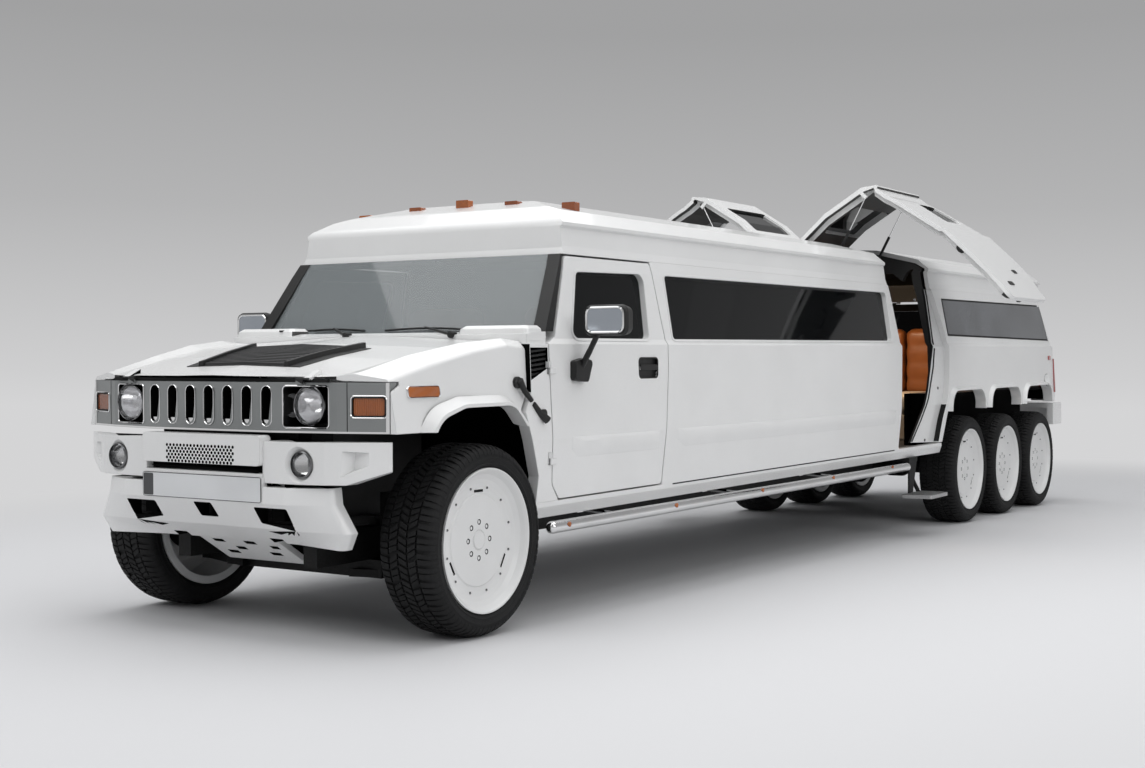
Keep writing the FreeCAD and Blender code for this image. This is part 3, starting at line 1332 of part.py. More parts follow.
HUB_END = (size("wheel_centre_x") + size("rim_width") / 2 - size("disc_recess")
           - size("disc_plate") - size("hub_gap"))


def rail_underside(axle_y):
    """Height above the ground of the raked rear rails' lower face."""
    rake = math.radians(size("rake_angle"))
    return REAR_RAIL_LOW / math.cos(rake) + axle_y * math.tan(rake)


def make_rear_axles():
    """Three beam axles with differential, brake drums and springs under the rails."""
    solids = []
    for axle_y in REAR_AXLES:
        axle = rod(V(-HUB_END, axle_y, TYRE), V(HUB_END, axle_y, TYRE), 48)
        pieces = [round_rod(V(-120, axle_y, TYRE), V(120, axle_y, TYRE), 150, 70)]
        for side in (-1, 1):
            drum_end = V(side * 900, axle_y, TYRE)
            pieces.append(rod(V(side * 740, axle_y, TYRE), drum_end, 160))
            pieces.append(rod(drum_end, V(side * HUB_END, axle_y, TYRE), 100))
            spring_top = rail_underside(axle_y - 60) - SEAT
            foot = V(side * size("rail_x"), axle_y, TYRE + 20)
            pieces.append(rod(foot, V(foot.x, axle_y, spring_top), 58))
        solids.append(axle.fuse(pieces))
    return Part.makeCompound(solids)


def make_knuckle():
    """Left knuckle: kingpin, brake drum and the flange that carries the wheel."""
    pin = size("kingpin_x")
    post = rod(V(pin, 0, 280 + SEAT), V(pin, 0, 602 - SEAT), 34)
    arm = block(pin, pin + 50, -40, 40, TYRE - 110, TYRE + 110)
    drum = rod(V(pin + 45, 0, TYRE), V(900, 0, TYRE), 160)
    flange = rod(V(900, 0, TYRE), V(HUB_END, 0, TYRE), 100)
    return post.fuse([arm, drum, flange])


def make_engine():
    """Engine as one plain block on its mounting plate, with the radiator before it."""
    rail_top = "Sizes.sill_height + Sizes.floor_rise - Sizes.rail_drop + Sizes.rail_height"
    low = f"{rail_top} + Sizes.engine_lift"
    block_item = box_item("EngineCasting", "-300", "-350", low, "600", "790", "560")
    plate = box_item("EngineMount", "-Sizes.rail_x", "-40", f"{rail_top} + Sizes.seat_gap",
                     "2 * Sizes.rail_x", "100", "Sizes.engine_lift")
    engine = doc.addObject("Part::MultiFuse", "EngineOnMount")
    engine.Shapes = [block_item, plate]
    radiator = box_item("Radiator", f"-{UPRIGHT[0]} + Sizes.seat_gap",
                        "-Sizes.tyre_radius - 95", f"{low} + 105",
                        f"2 * ({UPRIGHT[0]} - Sizes.seat_gap)", "50", "495")
    both = doc.addObject("Part::Compound", "engine_block")
    both.Links = [engine, radiator]
    doc.recompute()
    return both


# ----------------------------------------------------------------- wheels
def revolved_ring(label, rows):
    """Body made by turning a profile of (across, radius) about the wheel's axle."""
    body = doc.addObject("PartDesign::Body", label)
    profile = plane_sketch(body, label + "_profile", "XY_Plane")
    bound_polygon(profile, rows)
    turning = body.newObject("PartDesign::Revolution", label + "_ring")
    turning.Profile = profile
    turning.ReferenceAxis = (profile, ["H_Axis"])
    turning.Angle = 360
    body.Tip = turning
    doc.recompute()
    return body


def make_wheel():
    """Dished wheel: flat face with sunk lugs, a cap and slots round its edge."""
    half = "Sizes.rim_width / 2"
    lip = "Sizes.rim_radius"
    seat = "Sizes.rim_radius - Sizes.bead_seat"
    face = "Sizes.rim_width / 2 - Sizes.disc_recess"
    back = f"{face} - Sizes.disc_plate"
    body = revolved_ring("wheel_0_left", [
        (f"-{half}", lip),
        (f"-{half} + Sizes.rim_lip", lip),
        (f"-{half} + Sizes.rim_lip", seat),
        (f"{half} - Sizes.rim_lip", seat),
        (f"{half} - Sizes.rim_lip", lip),
        (half, lip),
        (half, f"{lip} - 7"),
        (f"{half} - 12", f"{lip} - 18"),
        (f"{half} - 30", f"{lip} - 30"),
        (f"{face} + 6", f"{lip} - 52"),
        (f"{face} - 2", f"{lip} - 74"),
        (f"{face} - 5", f"{lip} - 98"),
        (f"{face} - 5", f"{lip} - 116"),
        (face, f"{lip} - 122"),
        (face, "Sizes.cap_radius + 3"),
        (f"{face} - 4", "Sizes.cap_radius"),
        (f"{face} + 3", "Sizes.cap_radius - 5"),
        (f"{face} + 3", "0"),
        (back, "0"),
        (back, f"{lip} - 98"),
        (f"{back} - 14", f"{lip} - 40"),
        (f"-{half}", f"{lip} - 40"),
    ])
    lug = plane_sketch(body, "LugRecess", "YZ_Plane")
    lug.setExpression(".AttachmentOffset.Base.z", face)
    bound_circle(lug, "Sizes.lug_circle", "0", "Sizes.lug_radius")
    recess = body.newObject("PartDesign::Pocket", "LugRecessCut")
    recess.Profile = lug
    recess.Length = 7
    doc.recompute()
    nut = plane_sketch(body, "LugNut", "YZ_Plane")
    nut.setExpression(".AttachmentOffset.Base.z", f"{face} - 8")
    bound_circle(nut, "Sizes.lug_circle", "0", "Sizes.lug_radius - 5")
    stud = body.newObject("PartDesign::Pad", "LugNutPad")
    stud.Profile = nut
    stud.Length = 7
    doc.recompute()
    lugs = body.newObject("PartDesign::PolarPattern", "Lugs")
    lugs.Originals = [recess, stud]
    lugs.Axis = (lug, ["N_Axis"])
    lugs.Angle = 360
    bind(lugs, Occurrences="Sizes.lug_count")
    body.Tip = lugs
    doc.recompute()
    slot = plane_sketch(body, "EdgeSlot", "YZ_Plane")
    slot.setExpression(".AttachmentOffset.Base.z", face)
    bound_polygon(slot, [("-34", f"{lip} - 113"), ("34", f"{lip} - 113"),
                         ("34", f"{lip} - 101"), ("-34", f"{lip} - 101")])
    slot_cut = body.newObject("PartDesign::Pocket", "EdgeSlotCut")
    slot_cut.Profile = slot
    slot_cut.Length = 30
    doc.recompute()
    slots = body.newObject("PartDesign::PolarPattern", "EdgeSlots")
    slots.Originals = [slot_cut]
    slots.Axis = (slot, ["N_Axis"])
    slots.Angle = 360
    bind(slots, Occurrences="Sizes.slot_count")
    body.Tip = slots
    doc.recompute()
    return body


def make_tyre():
    """Tyre with round shoulders, seated on the wheel between its lips."""
    half = "Sizes.tyre_width / 2"
    seat = "Sizes.rim_radius - Sizes.bead_seat"
    bead = "Sizes.rim_width / 2 - Sizes.rim_lip"
    top = "Sizes.tyre_radius"
    right = [
        (bead, seat),
        (bead, f"{seat} + 18"),
        (f"{half} - 3", f"{seat} + 34"),
        (half, f"{top} - 66"),
        (f"{half} - 4", f"{top} - 38"),
        (f"{half} - 14", f"{top} - 18"),
        (f"{half} - 34", f"{top} - 6"),
        (f"{half} - 84", top),
    ]
    left = [(f"-({across})", radius) for across, radius in reversed(right)]
    return revolved_ring("tyre_0_left", right + left)


# ----------------------------------------------------------------- portal hoops
STRUT_BASE = (HALF - 580, GUTTER + 158)
STRUT_TOP_CLOSED = (HALF - 258, GUTTER + 170)
STRUT_Y = (GULL + 45, GULL_END - 65)
HOOP_WIDTH = 60


def make_hoops():
    """Frames before and behind the gull-wing openings, with the pins of the struts."""
    solids = []
    low = FLOOR_TOP + SEAT
    x, z = STRUT_BASE
    for y, pin_y, side in ((GULL - 85, STRUT_Y[0], 1), (GULL_END + 15, STRUT_Y[1], -1)):
        ring = drawn("y", cabin_rows(1), y, y + HOOP_WIDTH)
        hole = drawn("y", cabin_rows(75), y - 10, y + HOOP_WIDTH + 20)
        hoop = ring.cut(hole).cut(block(-HALF, HALF, y - 20, y + 90, 300, low))
        web = [(300, z - 25), (560, z - 25), (640, z - 90), (700, z + 40), (300, z + 100)]
        web = drawn("y", web, y, y + HOOP_WIDTH)
        pin = rod(V(x, y + 30, z), V(x, pin_y + 8 * side, z), 6)
        solids.append(hoop.fuse([web, other_side(web), pin, other_side(pin)]))
    return Part.makeCompound(solids)


# ----------------------------------------------------------------- struts
def strut_top_open():
    """Strut's upper pin with the door open: x, z."""
    angle = math.radians(size("gull_open_angle"))
    x = STRUT_TOP_CLOSED[0] - size("gull_hinge_x")
    z = STRUT_TOP_CLOSED[1] - size("gull_hinge_z")
    turned_x = x * math.cos(angle) - z * math.sin(angle)
    turned_z = x * math.sin(angle) + z * math.cos(angle)
    return (size("gull_hinge_x") + turned_x, size("gull_hinge_z") + turned_z)


def strut_point(t, y):
    """Point on the open strut at a share t of its length."""
    top = strut_top_open()
    x = STRUT_BASE[0] + t * (top[0] - STRUT_BASE[0])
    z = STRUT_BASE[1] + t * (top[1] - STRUT_BASE[1])
    return V(x, y, z)


def make_strut_tubes():
    """Gas strut cylinders, each with the eye that turns on the hoop's pin."""
    tubes = []
    x, z = STRUT_BASE
    for y in STRUT_Y:
        eye = rod(V(x, y - 8, z), V(x, y + 8, z), 13)
        tube = rod(strut_point(0.015, y), strut_point(0.52, y), 11)
        bore = rod(strut_point(0.04, y), strut_point(0.53, y), 5)
        pin_hole = rod(V(x, y - 9, z), V(x, y + 9, z), 6.3)
        tubes.append(tube.fuse(eye).cut([bore, pin_hole]))
    return Part.makeCompound(tubes)


def make_strut_rods():
    """Gas strut rods, each with the eye that meets the door's pin."""
    top = strut_top_open()
    rods = []
    for y in STRUT_Y:
        eye = rod(V(top[0], y - 6, top[1]), V(top[0], y + 6, top[1]), 11)
        stem = rod(strut_point(0.50, y), strut_point(0.99, y), 4.5)
        rods.append(stem.fuse(eye))
    return Part.makeCompound(rods)


# ----------------------------------------------------------------- tail
def tail_slab(front, back, low, high):
    """Side view of a sheet that follows the tail, between two depths inside it."""
    heights = [low] + [z for y, z in TAIL_SECTION if low < z < high] + [high]
    outer = [(reach(TAIL_SECTION, z) - front, z) for z in heights]
    inner = [(reach(TAIL_SECTION, z) - back, z) for z in reversed(heights)]
    return outer + inner


def make_tailgate():
    """Upright gate with its window and a sunk plate face under a grab handle."""
    gate = drawn("x", tail_slab(0, WALL, SILL + 358, GUTTER - 22), -GATE_HALF, GATE_HALF)
    opening = framed(-GATE_HALF + 110, GATE_HALF - 110, BELT + 28, GUTTER - 92, 50)
    window = drawn("y", opening, TAIL - 400, TAIL + 50)
    niche = drawn("y", framed(-280, 280, SILL + 470, SILL + 640, 30), TAIL - 46, TAIL + 50)
    handle = rod(V(-150, TAIL - 30, SILL + 600), V(150, TAIL - 30, SILL + 600), 10)
    feet = [block(x - 10, x + 10, TAIL - 50, TAIL - 30, SILL + 592, SILL + 608)
            for x in (-130, 130)]
    low, high = GATE_KNUCKLES
    hinges = [gate_hinge(x, x + 40, False) for x in (low, -high)]
    return gate.cut([window, niche]).fuse([handle] + feet + hinges)


def make_tailgate_glass():
    band = drawn("x", tail_slab(24, 24 + size("glass_thickness"), BELT, GUTTER - 40), -HALF, HALF)
    gap = size("glass_gap")
    half = GATE_HALF - 110 - gap
    opening = framed(-half, half, BELT + 28 + gap, GUTTER - 92 - gap, 50)
    return band.common(drawn("y", opening, TAIL - 400, TAIL + 50))


BUMPER_LOW = SILL + 98


def make_rear_bumper():
    """Hollow bar with round ends, a recessed tread, its horns and the hitch receiver."""
    bar_rows = [
        (-HALF, TAIL - 142, 0), (HALF, TAIL - 142, 0),
        (HALF, END, 130), (-HALF, END, 130),
    ]
    bar = drawn("z", bar_rows, BUMPER_LOW, BUMPER_LOW + 205)
    hollow_rows = [
        (-HALF + 60, TAIL - 242, 0), (HALF - 60, TAIL - 242, 0),
        (HALF - 60, END - 60, 90), (-HALF + 60, END - 60, 90),
    ]
    hollow = drawn("z", hollow_rows, BUMPER_LOW - 90, BUMPER_LOW + 160)
    tread = block(-HALF + 120, HALF - 120, TAIL + 60, END - 40, BUMPER_LOW + 198, BUMPER_LOW + 300)
    horn = block(RAIL_IN + 2, RAIL_OUT - 2, TAIL + 8 + SEAT, END - 45, REAR_RAIL_LOW + 2,
                 BUMPER_LOW + 50)
    bore = size("receiver_bore") / 2
    outer = bore + size("receiver_wall")
    level = REAR_RAIL_LOW + outer + 4
    bar_across = block(-RAIL_OUT + 2, RAIL_OUT - 2, TAIL + 20, TAIL + 60, level - 30, level + 30)
    receiver = block(-outer, outer, TAIL + 20, RECEIVER_END, level - outer, level + outer)
    hole = block(-bore, bore, TAIL + 65, END, level - bore, level + bore)
    body = bar.cut([hollow, tread])
    return body.fuse([horn, other_side(horn), bar_across, receiver]).cut(hole)


RECEIVER_END = TAIL + 198


# ----------------------------------------------------------------- furniture
def make_seats():
    """Two front seats, the long side bench and the rear bench, as plain solids."""
    seats = []
    low = FLOOR_TOP + SEAT
    for x in (-420, 420):
        y = CAB + 478
        seats.append(block(x - 250, x + 250, y, y + 440, low, FLOOR_TOP + 340))
        back = [(y + 440 + SEAT, low), (y + 540, low), (y + 660, BELT + 200), (y + 580, BELT + 200)]
        seats.append(drawn("x", back, x - 250, x + 250))
    bench_front = DOOR_END + 250
    bench_end = GULL - 185
    seats.append(block(-HALF + 260, -380, bench_front, bench_end, low, FLOOR_TOP + 410))
    seats.append(block(-HALF + 180, -HALF + 260 - SEAT, bench_front, bench_end, low, BELT - 12))
    rear = FIRST_REAR + 28
    seats.append(block(-640, 640, rear, rear + 600, low, FLOOR_TOP + 410))
    seats.append(block(-640, 640, rear + 600 + SEAT, rear + 750, low, BELT + 140))
    return Part.makeCompound(seats)


def make_dashboard():
    """Dashboard with its hood, steering column and wheel."""
    start = CAB + 18 + SEAT
    rows = [(start, BELT - 312), (start, BELT - 32), (CAB + 188, BELT - 42, 30),
            (CAB + 268, BELT - 162, 40), (CAB + 228, BELT - 312)]
    dash = drawn("x", rows, -HALF + 170, HALF - 170)
    column = rod(V(420, CAB + 228, BELT - 182), V(420, CAB + 358, BELT - 132), 22)
    centre = V(420, CAB + 368, BELT - 127)
    wheel = Part.makeTorus(185, 14, centre, V(0, 0.93, 0.36))
    spoke = rod(centre - V(185, 0, 0), centre + V(185, 0, 0), 12)
    return dash.fuse([column, wheel, spoke])


def make_mirror():
    """Mirror on its bent arm, with a sloping foot against the door."""
    y = CAB + 256
    foot_rows = [(y - 76, BELT - 206, 20), (y + 40, BELT - 216, 20), (y + 84, BELT - 110, 20),
                 (y + 10, BELT - 96, 14), (y - 70, BELT - 110, 14)]
    foot = drawn("x", foot_rows, HALF - 30, HALF + 26)
    elbow = V(HALF + 70, y - 20, BELT - 60)
    arm = rod(V(HALF + 6, y - 6, BELT - 150), elbow, 15)
    arm = arm.fuse([Part.makeSphere(15, elbow), rod(elbow, V(HALF + 135, y - 34, BELT + 40), 14)])
    head = loft("y", [
        (y - 62, framed(HALF + 66, HALF + 300, BELT + 20, BELT + 158, 32)),
        (y - 44, framed(HALF + 58, HALF + 308, BELT + 12, BELT + 166, 38)),
        (y + 10, framed(HALF + 66, HALF + 300, BELT + 20, BELT + 158, 36)),
        (y + 40, framed(HALF + 100, HALF + 270, BELT + 44, BELT + 136, 30)),
    ])
    clear = [(x + SEAT, z) for x, z in SIDE_SECTION] + [(HALF - 200, GUTTER), (HALF - 200, SILL)]
    return foot.fuse([arm, head]).cut(drawn("y", clear, y - 200, y + 200))


def make_running_tube():
    """Left running tube below the sill, with round ends, on arms from the frame."""
    radius = size("tube_radius")
    x = size("tube_x")
    start = V(x, CAB - 104, SILL - 37)
    end = V(x, GULL - 21, SILL - 52)
    tube = round_rod(start, end, radius, 0.8 * radius)
    arms = []
    for y in OUTRIGGERS[:-1]:
        root = V(TUBE_ARM_X + 1 + SEAT, y, FLOOR - 30)
        arms.append(rod(root, V(x, y, SILL - 44), 12))
        arms.append(block(TUBE_ARM_X + SEAT, TUBE_ARM_X + 12, y - 30, y + 30, RAIL_TOP - 30,
                          FLOOR - SEAT))
    return tube.fuse(arms)


def make_step():
    """Left entry step on its bracket under the gull-wing opening."""
    depth = size("step_depth")
    length = size("step_length")
    top = SILL - size("step_drop")
    y = GULL + 20
    tread_rows = [
        (HALF - 15, y, 8), (HALF - 15 + depth, y + 40, 20),
        (HALF - 15 + depth, y + length, 20), (HALF - 15, y + length, 8),
    ]
    tread = drawn("z", tread_rows, top - 26, top)
    bracket_rows = [(y + 150, top - 20), (y + 220, top - 20), (y + 320, SILL + 8),
                    (y + 150, SILL + 8)]
    bracket = drawn("x", bracket_rows, HALF - 22, HALF - 10)
    ram = rod(V(HALF - 4, y + 340, top - 12), V(HALF - 90, y + 240, SILL - 25), 15)
    brace = block(HALF - 230, HALF - 10, y + 150, y + 320, SILL - 30, SILL - SEAT)
    sill_room = block(0, HALF + 60, y, y + 400, SILL - SEAT, SILL + 100)
    return tread.fuse([bracket, ram, brace]).cut(sill_room)


# ----------------------------------------------------------------- assembly
MIDDLE = (raked(NOSE, PANEL_LOW - 11)[0] + raked(END, BUMPER_LOW)[0]) / 2


def build_fixed():
    """Everything that stands still, from the frame up."""
    level = level_to_middle()
    add("chassis_frame", make_chassis())
    add("front_suspension", make_front_suspension(), level)
    add("rear_axles", make_rear_axles(), level)
    keep(make_engine(), "engine_block", body_to_middle())
    add("floor_pan", make_floor())
    add("cab_frame", make_cab_frame())
    add("windscreen_frame", make_windscreen_frame())
    add("windscreen", make_windscreen())
    keep(make_front_panel(), "front_panel", body_to_middle())
    add("headlamps", make_headlamps())
    add("amber_lamps", make_amber_lamps())
    add("front_bumper", make_front_bumper())
    add("roof_cap", make_roof())
    add("portal_hoops", make_hoops())
    add("side_windows", both_sides(pane(STRETCH_WINDOW)))
    add("rear_bumper", make_rear_bumper())
    add("tail_lamps", make_tail_lamps())
    add("running_tubes", both_sides(make_running_tube()))
    add("entry_steps", both_sides(make_step()))
    add("seats", make_seats())
    add("dashboard", make_dashboard())


def build_pairs():
    """Pieces of the left side and their mirror images."""
    body = body_to_middle
    pieces = [
        ("stretch_side", make_stretch_side(steered_room()), lambda side: body()),
        ("rear_side", make_rear_side(), lambda side: body()),
        ("door", make_front_door(), lambda side: body()),
        ("door_glass", pane(DOOR_WINDOW), lambda side: body()),
        ("mirror", make_mirror(), lambda side: body()),
        ("gull_door", make_gull_door(), gull_to_middle),
        ("gull_glass", make_gull_glass(), gull_to_middle),
        ("strut_tubes", make_strut_tubes(), lambda side: body()),
        ("strut_rods", make_strut_rods(), lambda side: body()),
        ("knuckle", make_knuckle(), lambda side: level_to_middle()),
    ]
    for name, shape, place in pieces:
        add(f"{name}_left", shape, place(1))
        add(f"{name}_right", other_side(shape), place(-1))


def build_wheels():
    """One wheel and one tyre, and their copies at every other wheel centre."""
    wheel = make_wheel()
    tyre = make_tyre()
    rim_shape = wheel.Shape.copy()
    tyre_shape = tyre.Shape.copy()
    for number, axle_y in enumerate(AXLES):
        for name, side in (("left", 1), ("right", -1)):
            centre = V(side * size("wheel_centre_x"), axle_y, TYRE)
            place = level_to_middle().multiply(FreeCAD.Placement(centre, FreeCAD.Rotation()))
            if number == 0 and side == 1:
                keep(wheel, "wheel_0_left", place)
                keep(tyre, "tyre_0_left", place)
                continue
            rim = rim_shape if side == 1 else other_side(rim_shape)
            add(f"wheel_{number}_{name}", rim, place)
            add(f"tyre_{number}_{name}", tyre_shape, place)


build_fixed()
add("bonnet", make_bonnet())
build_pairs()
add("tailgate", make_tailgate())
add("tailgate_glass", make_tailgate_glass())
build_wheels()
doc.recompute()

for item in doc.Objects:
    if "Invalid" in item.State or "Error" in item.State:
        raise RuntimeError(f"{item.Label} did not build")
for node in NODES:
    if node.Shape.isNull() or not node.Shape.isValid():
        raise RuntimeError(f"{node.Label} has no valid shape")

os.makedirs("parts", exist_ok=True)
for node in NODES:
    node.Shape.exportStep(os.path.join("parts", f"{node.Label}.step"))
print(len(NODES), "nodes, front axle to middle", round(MIDDLE, 3))
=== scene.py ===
"""Looks for the stretch limousine: materials, tyres, trim, lamps, cabin fittings, studio and camera.

Places are in metres from the ground point below the front axle: x to the left, y to the tail, z up,
before the body's slight rake. BODY puts them in the row's frame.
"""

import json
import math
import random

import bmesh
import bpy
from mathutils import Matrix, Vector
from mathutils.bvhtree import BVHTree


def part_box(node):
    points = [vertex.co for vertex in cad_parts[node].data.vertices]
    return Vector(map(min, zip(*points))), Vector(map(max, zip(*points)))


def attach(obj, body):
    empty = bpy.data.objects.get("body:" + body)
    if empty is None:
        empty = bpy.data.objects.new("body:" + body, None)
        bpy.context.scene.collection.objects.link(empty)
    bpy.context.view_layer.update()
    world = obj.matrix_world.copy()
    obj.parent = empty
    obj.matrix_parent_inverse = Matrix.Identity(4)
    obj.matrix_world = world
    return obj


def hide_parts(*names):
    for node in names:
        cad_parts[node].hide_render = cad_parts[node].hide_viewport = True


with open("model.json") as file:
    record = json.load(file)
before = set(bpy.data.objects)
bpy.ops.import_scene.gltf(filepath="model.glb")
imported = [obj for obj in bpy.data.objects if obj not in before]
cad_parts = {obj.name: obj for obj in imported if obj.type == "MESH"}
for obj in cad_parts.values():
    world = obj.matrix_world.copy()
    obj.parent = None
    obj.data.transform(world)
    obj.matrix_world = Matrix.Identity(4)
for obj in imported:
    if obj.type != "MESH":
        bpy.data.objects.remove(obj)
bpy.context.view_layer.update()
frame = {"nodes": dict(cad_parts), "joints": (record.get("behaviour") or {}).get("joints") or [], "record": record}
NODES = frame["nodes"]
JOINTS = {joint["name"]: joint for joint in frame["joints"]}
SIDES = (("left", 1), ("right", -1))
WHEELS = [(f"{index}_{side}", sign) for index in range(4) for side, sign in SIDES]
X, Y, Z = Vector((1, 0, 0)), Vector((0, 1, 0)), Vector((0, 0, 1))

# the front axle and the nose-down rake, both read from the joints
_, AXLE_Y, WHEEL_RADIUS = JOINTS["wheel_0_left_roll"]["pos_m"]
DOOR_AXIS = JOINTS["front_door_left_swing"]["axis"]
RAKE = math.atan2(DOOR_AXIS[1], -DOOR_AXIS[2])
BODY = Matrix.Translation((0, AXLE_Y, 0)) @ Matrix.Rotation(RAKE, 4, "X")
UNTURNED = Matrix.Identity(4)

# lines of the body: along it, then across it and up
NOSE, CAB, DOOR_END, GULL, GULL_END, TAIL = -0.772, 0.572, 1.750, 5.285, 6.215, 9.442
HALF, SILL, BELT, GUTTER, LIP, CROWN = 1.000, 0.492, 1.362, 1.792, 1.957, 2.140
PANEL_LOW, PANEL_TOP = 0.948, 1.168
REAR_FLAT_Y = 8.8  # where the rear body's side has no opening
FLOOR_TOP = 0.540
BENCH_TOP, PAD_TOP = FLOOR_TOP + 0.22, FLOOR_TOP + 0.41
GULL_HINGE = (0.120, 2.152)
GULL_OPEN = math.radians(45.5)


def gull_place(sign):
    """From the closed gull-wing door's place on the body to where it stands open."""
    pin = Vector((sign * GULL_HINGE[0], 0, GULL_HINGE[1]))
    turn = Matrix.Rotation(-sign * GULL_OPEN, 4, "Y")
    return BODY @ Matrix.Translation(pin) @ turn @ Matrix.Translation(-pin)


# ---------------- materials

LOOKS = {}


def shader(name):
    """A new node material, its node tree and its surface shader."""
    made = LOOKS[name] = bpy.data.materials.new(name)
    made.use_nodes = True
    return made, made.node_tree, made.node_tree.nodes["Principled BSDF"]


def wire(tree, target, inputs):
    """Fills a node's inputs: a socket is linked, anything else becomes the value."""
    for key, value in inputs.items():
        if isinstance(value, bpy.types.NodeSocket):
            tree.links.new(value, target.inputs[key])
        else:
            target.inputs[key].default_value = value


def node(tree, kind, inputs):
    made = tree.nodes.new("ShaderNode" + kind)
    wire(tree, made, inputs)
    return made


def own_place(tree):
    """The object's own coordinates, so that a pattern stays on its piece."""
    return node(tree, "TexCoord", {}).outputs["Object"]


def noise(tree, scale, detail=3.0):
    inputs = {"Scale": scale, "Detail": detail, "Vector": own_place(tree)}
    return node(tree, "TexNoise", inputs).outputs["Fac"]


def ramp(tree, source, stops):
    """Colours for a grey value, from stops of (position, colour)."""
    made = node(tree, "ValToRGB", {"Fac": source})
    elements = made.color_ramp.elements
    while len(elements) < len(stops):
        elements.new(0.5)
    for element, (position, colour) in zip(elements, stops):
        element.position = position
        element.color = (*colour, 1)
    return made.outputs["Color"]


def grey(value):
    """A grey given as one number; a colour stays as it is."""
    return value if isinstance(value, tuple) else (value, value, value)


def mottled(tree, source, low, high):
    return ramp(tree, source, ((0.35, grey(low)), (0.65, grey(high))))


def bump(tree, surface, height, strength, distance, under):
    inputs = {"Strength": strength, "Distance": distance, "Height": height, **under}
    wire(tree, surface, {"Normal": node(tree, "Bump", inputs).outputs["Normal"]})


def finish_of(name, dark, light, rough, metal=0.0, coat=0.0, grain=40.0, depth=0.0, sheen=0.0,
              rough_spread=0.08, edge=0.0, gloss=0.5):
    """A material whose colour and roughness vary a little over the surface, with an optional fine
    bump and softly rounded edges."""
    made, tree, surface = shader(name)
    fine = noise(tree, grain, 5.0)
    wire(tree, surface, {
        "Base Color": mottled(tree, noise(tree, 2.5), dark, light),
        "Roughness": mottled(tree, fine, max(rough - rough_spread, 0.02), rough + rough_spread),
        "Metallic": metal, "Coat Weight": coat, "Coat Roughness": 0.05, "Sheen Weight": sheen,
        "Specular IOR Level": gloss})
    under = {}
    if edge:
        soft = node(tree, "Bevel", {"Radius": edge})
        soft.samples = 4
        under = {"Normal": soft.outputs["Normal"]}
        wire(tree, surface, under)
    if depth:
        bump(tree, surface, fine, 0.6, depth, under)
    return made


def glass(name, colour, see_through, gloss, coat=0.6):
    """Tinted glass: a dark gloss sheet that lets some of what is behind it through."""
    made, tree, surface = shader(name)
    wire(tree, surface, {
        "Base Color": colour, "Coat Weight": coat, "Coat Roughness": 0.02,
        "Specular IOR Level": gloss, "Alpha": 1.0 - see_through,
        "Roughness": mottled(tree, noise(tree, 6.0, 4.0), 0.03, 0.06)})
    return made


def fluted(made, scale, depth):
    """Adds moulded flutes to a lens."""
    tree = made.node_tree
    bands = node(tree, "TexWave", {"Scale": scale, "Distortion": 0.6, "Vector": own_place(tree)})
    bands.bands_direction = "X"
    bump(tree, tree.nodes["Principled BSDF"], bands.outputs["Fac"], 0.9, depth, {})
    return made


WHITE = finish_of("white_paint", (0.80, 0.80, 0.795), (0.83, 0.83, 0.825), 0.30, coat=0.5, grain=900,
                  edge=0.006)
finish_of("white_wheel", (0.74, 0.74, 0.735), (0.78, 0.78, 0.775), 0.42, coat=0.25, grain=500, edge=0.004)
finish_of("silver_panel", (0.24, 0.25, 0.25), (0.29, 0.30, 0.30), 0.36, metal=0.6, coat=0.2, grain=300,
          edge=0.005)
CHROME = finish_of("chrome", 0.72, 0.80, 0.10, metal=1.0, grain=200, rough_spread=0.03)
DARK_CHROME = finish_of("dark_chrome", (0.18, 0.18, 0.185), (0.25, 0.25, 0.255), 0.2, metal=1.0, grain=200,
                        rough_spread=0.05)
TREAD_PLATE = finish_of("step_aluminium", 0.42, 0.52, 0.35, metal=0.85, grain=260, depth=0.001)
finish_of("black_steel", 0.006, 0.012, 0.6, grain=120, depth=0.0004, gloss=0.25)
finish_of("cast_engine", 0.05, 0.09, 0.6, metal=0.6, grain=150, depth=0.0008)
finish_of("carpet", (0.020, 0.018, 0.017), (0.035, 0.031, 0.030), 0.9, grain=700, depth=0.002, sheen=0.3)
BLACK = finish_of("black_plastic", 0.006, 0.012, 0.45, grain=600, depth=0.0002, edge=0.002, gloss=0.4)
# the vent ribs' satin black, made lighter as a painted highlight
SATIN_WITH_HIGHLIGHT = finish_of("satin_black_painted_highlight", (0.022, 0.022, 0.023), (0.034, 0.034, 0.035), 0.38, grain=600,
                  depth=0.0002)
# near-black painted shade, for hollows, slots, vents, holes and gaps where shade falls
PAINTED_SHADE = finish_of("painted_shade_black", 0.002, 0.004, 0.85, grain=200, gloss=0.05)
SEAL = finish_of("seal_rubber", 0.006, 0.010, 0.7, grain=500, depth=0.0003, gloss=0.3)
RUBBER = finish_of("tyre_rubber", (0.007, 0.007, 0.0073), (0.013, 0.013, 0.0135), 0.72, grain=260,
                   depth=0.0006, gloss=0.3)
LINER = finish_of("trim_liner", (0.035, 0.034, 0.034), (0.055, 0.054, 0.053), 0.75, grain=400, depth=0.0006)
GREY_PANEL = finish_of("grey_panel", (0.045, 0.047, 0.050), (0.060, 0.062, 0.066), 0.38, coat=0.2, grain=600)
PLATE = finish_of("blank_plate", (0.66, 0.67, 0.68), (0.74, 0.75, 0.76), 0.35, coat=0.3, grain=500)
SIGN = finish_of("sign_panel_face", (0.035, 0.040, 0.048), (0.075, 0.082, 0.095), 0.22, coat=0.4, grain=300)
LEATHER = finish_of("tan_leather", (0.26, 0.085, 0.022), (0.36, 0.125, 0.036), 0.42, coat=0.15, grain=260,
                    depth=0.0008)
CREAM = finish_of("cream_leather", (0.50, 0.43, 0.34), (0.60, 0.53, 0.43), 0.45, coat=0.1, grain=260,
                  depth=0.0008)
glass("tinted_glass", (0.004, 0.0045, 0.005, 1), 0.06, 0.16, coat=0.0)
